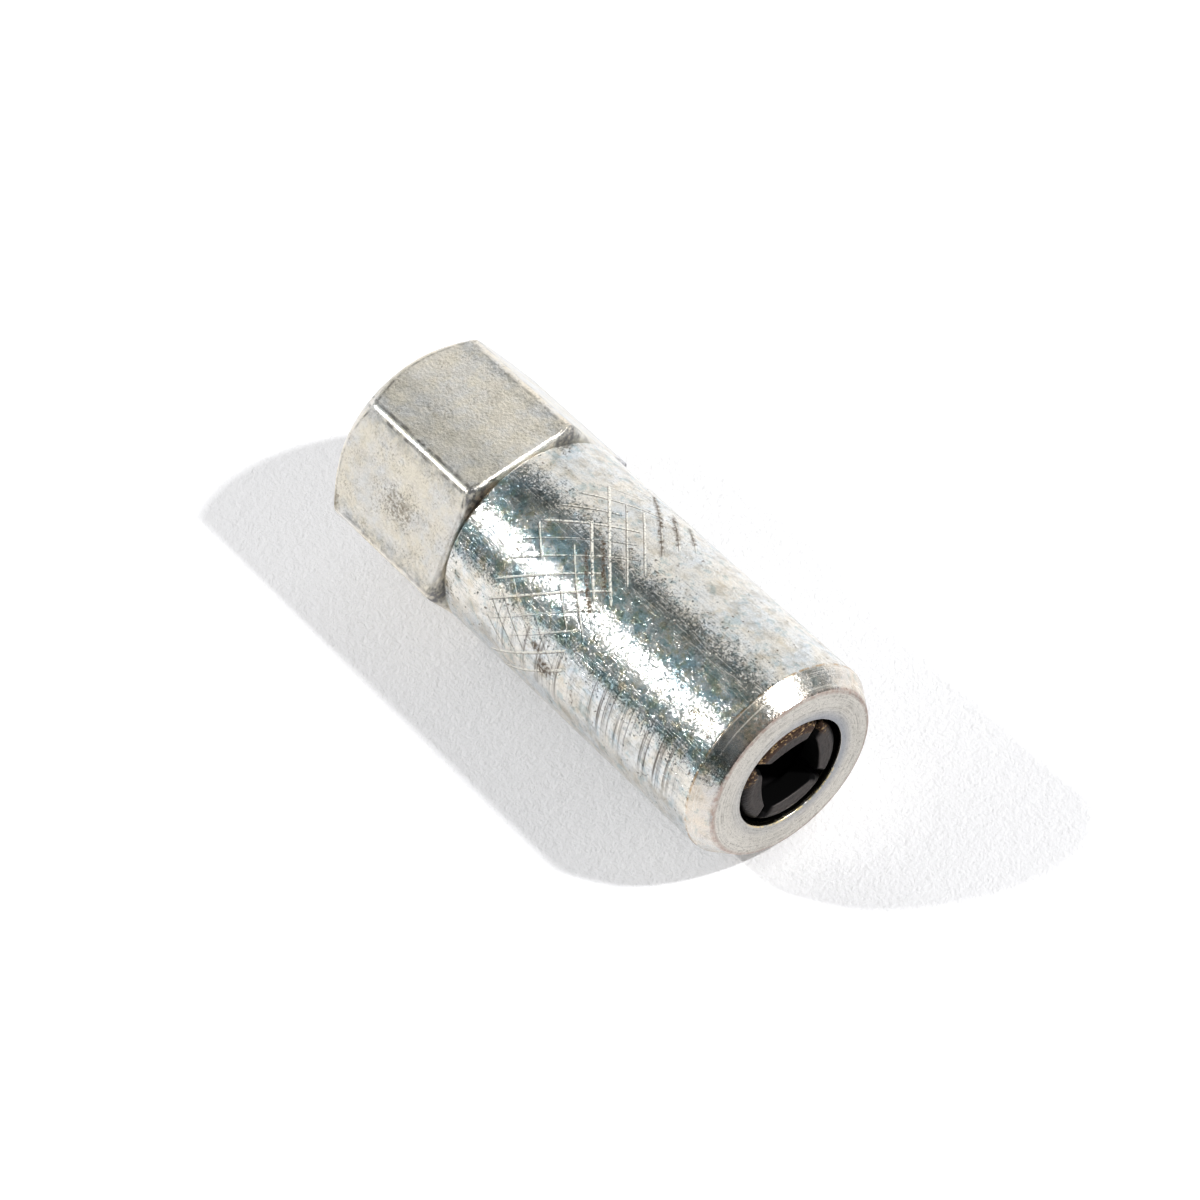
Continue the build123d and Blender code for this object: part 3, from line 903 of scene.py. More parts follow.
@dataclass(frozen=True)
class TurnedMetal:
    """A turned inner piece: the eye reads even metal, the tool's fine rings and a film of grease."""

    name: str
    tone: str
    shade: str
    roughness: float
    ring_mm: float = 0.1
    ring_height: float = 0.003

    def build(self) -> Material:
        """Makes the material."""
        made = Finish(self.name)
        base = made.tint(made.clouds(Clouds(1.2, 3.0, 0.0, 0.35, 0.65)), self.tone, self.shade)
        made.raise_by(made.turning(self.ring_mm), self.ring_height)
        low, high = self.roughness * 0.85, self.roughness * 1.2
        return made.close(base, 1.0, made.clouds(Clouds(0.4, 2.0, 3.0, 0.3, 0.7, low, high)))


@dataclass(frozen=True)
class Moulded:
    """A moulded rubber or plastic ring: the eye reads no metal, a soft sheen and a fine skin."""

    name: str
    tone: str
    shade: str
    roughness: float
    skin_mm: float = 0.15
    skin_height: float = 0.006

    def build(self) -> Material:
        """Makes the material."""
        made = Finish(self.name)
        skin = made.noise(self.skin_mm, 3.0)
        base = made.tint(made.clouds(Clouds(0.9, 3.0, 2.0, 0.35, 0.65)), self.tone, self.shade)
        made.raise_by(skin, self.skin_height)
        return made.close(base, 0.0, skin.eased(0.3, 0.7, self.roughness * 0.9, self.roughness * 1.1))


def dress(piece: Piece, material: Material) -> None:
    """Gives a piece its one material."""
    piece.data.materials.clear()
    piece.data.materials.append(material)


def stand_for(piece: Piece, node: str, body: str) -> None:
    """Lets a finished piece ride on its body in place of its CAD node."""
    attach(piece, body)
    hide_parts(node)
    log.info("%s: %d faces, on %s", piece.name, len(piece.data.polygons), body)


FALLING_LINES = {
    -1: (0.45, 16.5, 19.2), 0: (0.75, 16.5, 21.6), 1: (0.7, 16.5, 20.0), 2: (0.85, 16.6, 21.9),
    3: (0.5, 16.5, 22.7), 4: (0.6, 16.5, 23.7), 5: (0.8, 16.4, 22.8), 6: (0.85, 16.5, 24.3),
    7: (0.45, 16.9, 24.7), 8: (0.5, 19.0, 24.6), 9: (1.0, 16.6, 24.1), 10: (1.0, 17.5, 24.4),
}
RISING_LINES = {
    -3: (0.6, 22.0, 25.0), -2: (0.8, 21.0, 24.5), -1: (0.8, 18.4, 24.4), 0: (0.85, 20.0, 25.0),
    1: (0.8, 18.9, 24.9), 2: (1.0, 16.9, 25.1), 3: (1.0, 18.9, 23.8), 4: (0.75, 19.5, 25.0),
    5: (0.7, 20.8, 23.4), 6: (0.8, 16.5, 18.7), 7: (0.35, 20.5, 24.0), 8: (0.3, 17.5, 22.0),
    9: (0.6, 17.3, 20.7), 10: (0.6, 16.6, 20.5), 11: (0.6, 16.6, 18.8),
}
DIRTY_LINES = ((31, 18.4, 24.3), (30, 20.6, 24.0), (29, 22.0, 24.2))
BARREL_DIRT = (
    Spot(25.5, 76, 0.35, 22, 0.8), Spot(31.4, 62, 0.3, 14, 0.85), Spot(32.2, 60, 0.2, 14, 0.7),
    Spot(33.7, 72, 0.25, 12, 0.6), Spot(27.3, -16, 0.3, 3, 0.9), Spot(28.7, -3, 0.25, 2.5, 0.8),
    Spot(30.0, 66, 2.5, 7, 0.35), Spot(22.6, 76, 1.2, 8, 0.9), Spot(21.6, 68, 0.9, 4, 0.8),
    Spot(22.2, -36, 0.9, 5, 0.7), Spot(23.3, -20, 0.9, 4, 0.6), Spot(12.3, 8, 0.35, 40, 0.55),
    Spot(26.5, 200, 0.5, 30, 0.6), Spot(33.0, 240, 0.4, 30, 0.5), Spot(30.0, 140, 1.0, 20, 0.3),
)
# Tarnished spots, partly painted dark reflections: set where the barrel mirrors dark surroundings.
BARREL_TARNISH_AND_PAINTED_REFLECTION = (
    Spot(14.4, 16, 1.2, 7, 0.85), Spot(15.2, 8, 1.2, 6, 0.95), Spot(25.2, 7, 0.7, 4, 0.7),
    Spot(28.0, 6, 3.0, 4, 0.6), Spot(34.5, 5, 2.0, 4, 0.4), Spot(15.4, 53, 1.0, 5, 0.75),
    Spot(13.6, 51, 1.6, 6, 0.6), Spot(13.2, 57, 1.0, 3, 0.5), Spot(23.8, 55, 0.9, 4, 0.6),
    Spot(26.5, 56, 2.0, 3, 0.4), Spot(34.5, 53, 2.0, 5, 0.6), Spot(22.0, 10, 2.0, 5, 0.3),
    Spot(30.0, 190, 5.0, 30, 0.4), Spot(38.0, 44, 1.0, 7, 0.5),
)
HEXAGON_STAINS = (Spot(6.8, 63, 2.5, 13, 1.0), Spot(1.2, 86, 0.6, 9, 0.9))


@dataclass
class Sleeve:
    """Round barrel with crossed rolled lines, a bevelled nose and the cone that closes the jaws."""

    bevel_length: float = 1.55
    bevel_depth: float = 0.98
    face_width: float = 2.26
    rear_chamfer: float = 0.3
    mouth_land: float = 0.3
    cone_half_angle: float = 15.0
    chamber_wall: float = 1.6
    thread_radius: float = 6.2
    thread_end: float = 18.4
    thread_chamfer: float = 0.4
    band_start: float = 16.6
    band_length: float = 8.3
    band_margin: float = 0.4
    band_rows: int = 78
    line_depth: float = 0.012
    line_burr: float = 0.004
    line_width: float = 0.10
    burr_aside: float = 0.14
    columns: int = 512
    skin: float = 0.02

    def __post_init__(self) -> None:
        """Takes the overall sizes from the CAD node."""
        low, high = node_box("sleeve")
        self.rear, self.front, self.radius = low[0], high[0], high[1]
        self.bevel_start = self.front - self.bevel_length
        self.rim_radius = self.radius - self.bevel_depth
        self.families = (
            LineFamily("falling_cut", 29, -8.0, -6.18, self.band_start, self.radius, FALLING_LINES, 5),
            LineFamily("rising_cut", 32, -49.2, 6.18, self.band_start, self.radius, RISING_LINES, 8),
        )

    def outline(self) -> Grid:
        """Closed outline of the barrel's wall, with many rows where the lines are."""
        mouth = self.rim_radius - self.face_width
        chamber = self.radius - self.chamber_wall
        land = self.front - self.mouth_land
        cone_rear = land - (chamber - mouth) / math.tan(math.radians(self.cone_half_angle))
        step = self.thread_radius - chamber
        band_end = self.band_start + self.band_length + self.band_margin
        return rounded_outline([
            Corner(self.rear, self.radius - self.rear_chamfer, 0.08),
            Corner(self.rear + self.rear_chamfer, self.radius, 0.12, 3),
            Corner(self.band_start - self.band_margin, self.radius, 0, self.band_rows),
            Corner(band_end, self.radius, 0, 5),
            Corner(self.bevel_start, self.radius, 0.16, 4),
            Corner(self.front, self.rim_radius, 0.14, 4),
            Corner(self.front, mouth, 0.10),
            Corner(land, mouth, 0.05, 5),
            Corner(cone_rear, chamber, 0.3, 3),
            Corner(self.thread_end + step, chamber, 0.05),
            Corner(self.thread_end, self.thread_radius, 0.05, 3),
            Corner(self.rear + self.thread_chamfer, self.thread_radius, 0.05),
            Corner(self.rear, self.thread_radius + self.thread_chamfer, 0.05, 2),
        ])

    def relief(self, x: Grid, angle: Grid, outside: Grid) -> Grid:
        """How far the rolled lines move the surface.

        Each line is a groove with the metal that it pushed up beside it, and both are e to the minus squared
        distance. All are lowered so that nothing stands out of the barrel.
        """
        moved = np.zeros(np.broadcast(x, angle).shape)
        for family in self.families:
            _, offset = family.offset(x, angle)
            groove = np.exp(-((offset / self.line_width) ** 2))
            burr = np.exp(-(((offset + self.burr_aside) / self.line_width) ** 2))
            moved += family.strength(x, angle) * (self.line_burr * burr - self.line_depth * groove)
        start, end = self.band_start, self.band_start + self.band_length
        on_band = within(x, (start - self.band_margin, start, end, end + self.band_margin))
        return np.minimum(moved - 1.5 * self.line_burr, 0) * on_band * outside

    def smears(self, x: Grid, angle: Grid) -> Grid:
        """Dirt: brown beside the two deepest lines, along some lines, and in spots and streaks."""
        deepest_lines, aside, width_beside, width_along = (2, 3), 0.33, 0.28, 0.44
        number, offset = self.families[1].offset(x, angle)
        beside = np.isin(number, deepest_lines) * np.exp(-(((offset - aside) / width_beside) ** 2))
        dirt = 0.9 * beside * within(x, (19.6, 21.0, 23.9, 24.9))
        for line, start, end in DIRTY_LINES:
            along = (number == line) * np.exp(-((offset / width_along) ** 2)) * (x > start) * (x < end)
            dirt = np.maximum(dirt, 0.76 * along)
        return np.maximum(dirt, deepest(BARREL_DIRT, x, angle))

    def wiped(self, x: Grid, angle: Grid) -> Grid:
        """Where dirt was wiped round the barrel into streaks: in three patches, the last one on its back."""
        patches = (
            within(x, (24.6, 25.4, 34.5, 37.0)) * within(angle, (44, 60, 74, 90)),
            0.8 * within(x, (16.0, 18.0, 24.0, 25.5)) * within(angle, (58, 64, 80, 95)),
            0.6 * eased(x, 13.0, 15.0) * within(angle, (120, 160, 250, 300)),
        )
        return np.max(patches, axis=0)

    def make(self, finish: BrightZinc) -> None:
        """Builds and dresses the sleeve.

        Args:
            finish: the barrel's plating.
        """
        outline = self.outline()
        x, r = outline[..., 0], outline[..., 1]
        angle = (np.arange(self.columns) * 360 / self.columns)[None, :]
        outside = r > self.radius - self.skin
        radius = r + self.relief(x, angle, outside)
        beyond_bore = radius > self.rim_radius
        layers = {family.layer: family.strength(x, angle) * outside for family in self.families}
        layers["smear"] = self.smears(x, angle) * beyond_bore
        # Tarnished spots, partly painted dark reflections.
        layers["tarnish_and_painted_reflection"] = deepest(BARREL_TARNISH_AND_PAINTED_REFLECTION, x, angle) * beyond_bore
        layers["wiped"] = self.wiped(x, angle) * beyond_bore
        piece = closed_surface("sleeve_skin", turned_points(x, radius, angle), True, layers)
        places = BarrelPlaces(self.rear, self.bevel_start, self.front, self.rim_radius)
        dress(piece, finish.build(self.families, places))
        stand_for(piece, "sleeve", "housing")


@dataclass
class Adapter:
    """Hexagon body with the threaded inlet, and the neck that reaches into the sleeve."""

    edge_radius: float = 0.66
    rear_set_in: float = 0.26
    front_margin: float = 0.6
    front_bevel_angle: float = 30.0
    least_bevel: float = 0.2
    hexagon_length: float = 11.9
    relief_radius: float = 5.7
    relief_length: float = 1.0
    relief_run: float = 0.45
    joint_thread_radius: float = 6.15
    joint_thread_depth: float = 0.45
    joint_thread_front: float = 17.4
    joint_thread_chamfer: float = 0.4
    joint_pitch: float = 1.0
    neck_radius: float = 4.2
    neck_chamfer: float = 0.3
    bore_radius: float = 3.0
    bore_chamfer: float = 0.35
    bore_rear: float = 11.479
    passage_radius: float = 1.5
    passage_length: float = 1.7
    inlet_minor_radius: float = 4.46
    inlet_root_radius: float = 5.03
    inlet_depth: float = 8.0
    inlet_pitch: float = 1.0
    inlet_fade: tuple[float, float] = (-1.2, -0.2)
    joint_fade: tuple[float, float] = (1.5, 2.2)
    countersink_radius: float = 5.1
    countersink_half_angle: float = 60.0

    def __post_init__(self) -> None:
        """Takes the overall sizes from the CAD node."""
        low, high = node_box("adapter")
        self.flat = high[2]
        self.neck_front = high[0]

    def hexagon(self) -> tuple[Grid, Grid, Grid]:
        """The bar's section, one flat up: six flats joined by arcs.

        Returns:
            For each column its angle in degrees, its radius, and its distance from where its flat meets the
            arc, which is less than 0 on the arc.
        """
        flat_steps, arc_steps = 21, 12
        flat_end = (self.flat - self.edge_radius) * math.tan(math.radians(30))
        along = np.sin(np.linspace(-1, 1, flat_steps) * math.pi / 2) * flat_end
        flat_points = np.stack([along, np.full(along.size, self.flat)], -1)
        turns = np.radians(np.linspace(0, 60, arc_steps)[1:-1])
        centre = np.array([flat_end, self.flat - self.edge_radius])
        arc_points = centre + self.edge_radius * np.stack([np.sin(turns), np.cos(turns)], -1)
        section = np.concatenate([flat_points, arc_points])
        on_arc = -self.edge_radius * np.minimum(turns, math.radians(60) - turns)
        from_edge = np.concatenate([flat_end - np.abs(along), on_arc])
        side = np.degrees(np.arctan2(section[:, 0], section[:, 1]))
        angle = (side[None, :] + np.arange(6)[:, None] * 60).reshape(-1)
        return angle, np.tile(np.hypot(*section.T), 6), np.tile(from_edge, 6)

    def outline(self, radius: Grid) -> Grid:
        """Closed outline of the body's wall, which follows the hexagon's radius in each column."""
        front_radius = self.flat + self.front_margin
        rear_radius = self.flat - self.rear_set_in
        over = radius - front_radius
        fall = np.maximum(over, self.least_bevel)
        run = np.maximum(over * math.tan(math.radians(self.front_bevel_angle)), self.least_bevel)
        front, shoulder = self.hexagon_length, self.joint_thread_front
        relief_end = front + self.relief_length
        countersink = self.countersink_radius - self.inlet_minor_radius
        countersink_depth = countersink / math.tan(math.radians(self.countersink_half_angle))
        return rounded_outline([
            Corner(0, rear_radius, 0.10),
            Corner(radius - rear_radius, radius, 0.22, 12),
            Corner(front - run, radius, 0.12),
            Corner(front, radius - fall, 0.14, 3),
            Corner(front, self.relief_radius, 0.08),
            Corner(relief_end, self.relief_radius, 0.08),
            Corner(relief_end + self.relief_run, self.joint_thread_radius, 0.05, 28),
            Corner(shoulder - self.joint_thread_chamfer, self.joint_thread_radius, 0.05),
            Corner(shoulder, self.joint_thread_radius - self.joint_thread_chamfer, 0.05),
            Corner(shoulder, self.neck_radius, 0.08, 3),
            Corner(self.neck_front - self.neck_chamfer, self.neck_radius, 0.05),
            Corner(self.neck_front, self.neck_radius - self.neck_chamfer, 0.05),
            Corner(self.neck_front, self.bore_radius + self.bore_chamfer, 0.05),
            Corner(self.neck_front - self.bore_chamfer, self.bore_radius, 0.05, 4),
            Corner(self.bore_rear, self.bore_radius, 0.05),
            Corner(self.bore_rear, self.passage_radius, 0.05),
            Corner(self.bore_rear - self.passage_length, self.passage_radius, 0.05, 2),
            Corner(self.inlet_depth, self.inlet_minor_radius, 0.05, 61),
            Corner(countersink_depth, self.inlet_minor_radius, 0.03),
            Corner(0, self.countersink_radius, 0.06, 2),
        ])

    def threaded(self, x: Grid, r: Grid, angle: Grid) -> Grid:
        """Radius with the turns of the inlet cut outwards and those of the joint thread cut inwards.

        The inlet's turns fade out before its bottom, and those of the joint fade in ahead of the hexagon.
        """
        inlet = np.isclose(r, self.inlet_minor_radius, atol=0.01) & (x < self.inlet_depth)
        joint = np.isclose(r, self.joint_thread_radius, atol=0.01) & (x > self.hexagon_length)
        deep = self.inlet_root_radius - self.inlet_minor_radius
        deep = deep * (1 - thread_wave(x, angle, self.inlet_pitch))
        deep = deep * (1 - eased(x - self.inlet_depth, *self.inlet_fade))
        r = r + np.where(inlet, deep, 0)
        deep = self.joint_thread_depth * (1 - thread_wave(x, angle, self.joint_pitch))
        deep = deep * eased(x - self.hexagon_length, *self.joint_fade)
        return r - np.where(joint, deep, 0)

    def make(self, finish: DrawnZinc) -> None:
        """Builds and dresses the adapter, with real turns in its inlet and on its joint thread.

        Args:
            finish: the hexagon's plating.
        """
        angle, column_radius, from_edge = self.hexagon()
        outline = self.outline(column_radius)
        angle, column_radius = angle[None, :], column_radius[None, :]
        x = outline[..., 0]
        r = self.threaded(x, outline[..., 1], angle)
        bar_skin, least_over, bevel_fade, unmarked = 0.4, 0.05, (-0.1, 0.05), 9.0
        outside = (r > self.flat - bar_skin) & (x <= self.hexagon_length)
        over = column_radius - (self.flat + self.front_margin)
        front_bevel = self.hexagon_length - over * math.tan(math.radians(self.front_bevel_angle))
        from_end = np.minimum(x - (column_radius - (self.flat - self.rear_set_in)), front_bevel - x)
        layers = {
            "bevel": outside * (over > least_over) * eased(x - front_bevel, *bevel_fade),
            "smear": deepest(HEXAGON_STAINS, x, angle) * outside,
            "from_edge": np.where(outside, from_edge[None, :], unmarked),
            "from_end": np.where(outside, from_end, unmarked),
        }
        piece = closed_surface("adapter_skin", turned_points(x, r, angle), True, layers)
        dress(piece, finish.build())
        stand_for(piece, "adapter", "housing")


@dataclass
class Jaws:
    """Four jaws, sawn from one ring, with a cone outside and a lip that grips the nipple's head."""

    saw_cut: float = 0.4
    face_radius: float = 3.25
    front_rounding: float = 0.75
    relief_length: float = 1.6
    relief_radius: float = 4.466
    cone_end: float = 2.952
    pocket_radius: float = 3.35
    lip_length: float = 1.1
    lip_back_length: float = 1.175
    lip_profile_radius: float = 1.95
    lip_reach: float = 2.4
    lip_arc_radius: float = 8.0
    end_chamfer: float = 0.35
    edge_rounding: float = 0.09

    def __post_init__(self) -> None:
        """Takes the overall sizes from the top jaw's CAD node."""
        low, high = node_box("jaw_top")
        self.rear, self.front, self.body_radius = low[0], high[0], high[2]

    def outer(self, back: Grid) -> Grid:
        """Outside radius at a distance behind the front: a rounded corner, a flare, the cone, the body."""
        rounding = self.front_rounding
        arc = self.face_radius + np.sqrt(np.clip(rounding**2 - (rounding - back) ** 2, 0, None))
        stops = (rounding, self.relief_length, self.cone_end)
        radii = (self.face_radius + rounding, self.relief_radius, self.body_radius)
        return np.where(back < rounding, arc, np.interp(back, stops, radii))

    def inner(self, back: Grid, side: Grid) -> Grid:
        """Inside radius at an angle from the jaw's middle: the pocket, or the lip's flat arc."""
        ends = (self.lip_length, self.lip_length + self.lip_back_length)
        pocket = np.interp(back, ends, (self.lip_profile_radius, self.pocket_radius))
        centre = self.lip_reach - self.lip_arc_radius
        turn = np.radians(side)
        lip = centre * np.cos(turn) + np.sqrt(self.lip_arc_radius**2 - (centre * np.sin(turn)) ** 2)
        return np.maximum(pocket, lip)

    def corner(self, quarter: int, swing: Grid) -> Grid:
        """Points on one rounded corner of the section, as (across, through)."""
        round_across, round_through = 0.04, 0.09
        turn = swing + quarter * math.pi / 2
        sign_across = (1, -1, -1, 1)[quarter % 4]
        sign_through = (1, 1, -1, -1)[quarter % 4]
        across = sign_across * (1 - round_across) + round_across * np.cos(turn)
        through = 0.5 + sign_through * (0.5 - round_through) + round_through * np.sin(turn)
        return np.stack([across, through], -1)

    def section(self) -> Grid:
        """A rounded rectangle in two rows: across, from -1 to 1, and through the wall, from 0 to 1."""
        side_steps, wall_steps = 22, 8
        parts = []
        for quarter in range(4):
            arc = self.corner(quarter, np.linspace(0, math.pi / 2, 5))
            steps = wall_steps if quarter % 2 else side_steps
            share = np.arange(1, steps)[:, None] / steps
            parts += [arc, arc[-1] + share * (self.corner(quarter + 1, np.zeros(1)) - arc[-1])]
        return np.concatenate(parts).T

    def stations(self) -> tuple[Grid, Grid]:
        """Places of the rows behind the front face, and how far the edge rounding draws each row in."""
        length, rounding = self.front - self.rear, self.edge_rounding
        swing = np.linspace(0, math.pi / 2, 5)
        front_back = rounding * (1 - np.cos(swing))
        front_inset = rounding * (1 - np.sin(swing))
        flare_end = 2.4
        stretches = (
            (rounding, self.front_rounding, 8), (self.front_rounding, flare_end, 14),
            (flare_end, self.cone_end, 4), (self.cone_end, length - rounding, 8),
        )
        middle = np.concatenate([np.linspace(*stretch)[1:] for stretch in stretches])[:-1]
        back = np.concatenate([front_back, middle, length - front_back[::-1]])
        inset = np.concatenate([front_inset, np.zeros(middle.size), front_inset[::-1]])
        return back[:, None], inset[:, None]

    def side(self, across: Grid, drawn_in: Grid, r: Grid) -> Grid:
        """Angle from the jaw's middle at radius r: the section's share of what the saw left of 90 degrees."""
        widest = 45 - np.degrees(np.arcsin(self.saw_cut / 2 / r))
        return across[None, :] * (widest - np.degrees(drawn_in / r))

    def points(self, turn: float) -> tuple[Grid, Grid, Grid]:
        """One jaw's surface: its section carried from the front face to the rear, drawn in at both ends.

        Returns:
            The points, and for each the share of end face and of rounded front edge.
        """
        across, through = self.section()
        back, inset = self.stations()
        drawn_in = inset + np.clip(self.end_chamfer - back, 0, None)
        outer = self.outer(back)
        side = self.side(across, drawn_in, (self.inner(back, 0 * across[None, :]) + outer) / 2)
        for _ in range(2):
            inner = self.inner(back, side) + inset
            r = inner + through[None, :] * (outer - inset - inner)
            side = self.side(across, drawn_in, r)
        surface = turned_points(self.front - back, r, side)
        face_depth, edge_depth, edge_inside, edge_outside = 0.12, 0.9, 0.15, 0.1
        end_face = np.broadcast_to(1 - eased(back, 0.0, face_depth), r.shape)
        edge = eased(r, self.face_radius - edge_inside, self.face_radius + edge_outside) * (back < edge_depth)
        shares = np.array([0.35, 0.7, 0.93])[:, None, None]
        middle_row = surface[:1].mean(1, keepdims=True)
        surface = np.concatenate([middle_row + shares * (surface[:1] - middle_row), surface])
        end_face = np.concatenate([np.ones((len(shares), r.shape[1])), end_face])
        edge = np.concatenate([np.zeros((len(shares), r.shape[1])), edge])
        angle = math.radians(turn)
        y, z = surface[..., 1].copy(), surface[..., 2].copy()
        surface[..., 1] = y * math.cos(angle) - z * math.sin(angle)
        surface[..., 2] = y * math.sin(angle) + z * math.cos(angle)
        return surface, end_face, edge

    def make(self, finish: BlackOxide) -> None:
        """Builds and dresses the four jaws, each on its own body.

        Args:
            finish: the jaws' black oxide.
        """
        material = finish.build(self.pocket_radius - 0.1, self.front)
        for index, node in enumerate(("jaw_top", "jaw_left", "jaw_bottom", "jaw_right")):
            surface, end_face, edge = self.points(index * 90)
            piece = closed_surface(f"{node}_skin", surface, False, {"end_face": end_face, "edge": edge})
            dress(piece, material)
            stand_for(piece, node, node)


@dataclass
class Spring:
    """A compression spring of round wire, its ends cut off flat."""

    node: str
    body: str
    joint: str
    wire: float
    turns: float
    travel: float
    anchor_at_front: bool
    end_inset: float = 0.3
    steps_per_turn: int = 72
    wire_steps: int = 16

    def make(self, material: Material) -> None:
        """Builds and dresses the spring.

        The wire's middle runs at one radius, and along the axis by an even pitch. A circle is carried along
        it, and what would reach past the spring's ends is cut off flat.

        Args:
            material: the wire's finish.
        """
        low, high = node_box(self.node)
        mean = (high[1] - low[1]) / 2 - self.wire / 2
        turn = np.linspace(0, self.turns * 2 * math.pi, int(self.turns * self.steps_per_turn))
        start, end = low[0] + self.wire * self.end_inset, high[0] - self.wire * self.end_inset
        centre_x = start + turn / turn[-1] * (end - start)
        slope = math.atan((end - start) / self.turns / (2 * math.pi * mean))
        ring = np.linspace(0, 2 * math.pi, self.wire_steps, endpoint=False)[None, :]
        outward, sideways = np.cos(ring) * self.wire / 2, np.sin(ring) * self.wire / 2
        turn = turn[:, None]
        radius = mean + outward
        shift = sideways * math.sin(slope)
        x = np.clip(centre_x[:, None] + sideways * math.cos(slope), low[0], high[0])
        y = radius * np.cos(turn) + shift * np.sin(turn)
        z = radius * np.sin(turn) - shift * np.cos(turn)
        piece = closed_surface(f"{self.node}_wire", np.stack([x, y, z], -1), False)
        dress(piece, material)
        stand_for(piece, self.node, self.body)
        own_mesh(piece)


@dataclass
class Inside:
    """What works inside: plunger, seals, valve and springs."""

    def make(self) -> None:
        """Builds the round-section pieces and dresses the turned and moulded ones."""
        finishes = {
            "plunger": TurnedMetal("turned_plunger_steel", "#B9B7B2", "#A5A39E", 0.28),
            "thrust_washer": TurnedMetal("ground_washer_steel", "#8F9094", "#7E8085", 0.22, 0.06),
            "check_ball": TurnedMetal("polished_bearing_steel", "#D4D6D9", "#C9CBCF", 0.06, 0.5, 0.0002),
            "spring_cap": TurnedMetal("turned_brass", "#D2A95A", "#B98F42", 0.25),
            "nose_seal": Moulded("moulded_nitrile_rubber", "#141414", "#1E1D1C", 0.5),
            "backup_ring": Moulded("turned_hard_plastic", "#E4E2D8", "#D8D5C9", 0.4),
        }
        for node, finish in finishes.items():
            dress(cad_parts[node], finish.build())
            log.info("%s: dressed in %s", node, finish.name)
        wire = TurnedMetal("oil_tempered_spring_wire", "#77787C", "#5C5D60", 0.3, 0.2).build()
        Spring("jaw_spring", "housing", "plunger_slide", 0.9, 4.5, 3.4, False).make(wire)
        Spring("check_spring", "plunger", "check_ball_lift", 0.3, 4.0, 0.8, True).make(wire)
        self.o_ring(Moulded("moulded_o_ring_rubber", "#101010", "#1A1918", 0.42).build())

    def o_ring(self, material: Material) -> None:
        """Builds the O-ring: a circle carried round the axis."""
        rows, columns = 24, 128
        low, high = node_box("plunger_o_ring")
        half = (high[0] - low[0]) / 2
        ring = np.linspace(0, 2 * math.pi, rows, endpoint=False)[:, None]
        angle = np.linspace(0, 360, columns, endpoint=False)[None, :]
        x, radius = (low[0] + high[0]) / 2 + half * np.cos(ring), high[1] - half + half * np.sin(ring)
        piece = closed_surface("plunger_o_ring_round", turned_points(x, radius, angle), True)
        dress(piece, material)
        stand_for(piece, "plunger_o_ring", "plunger")


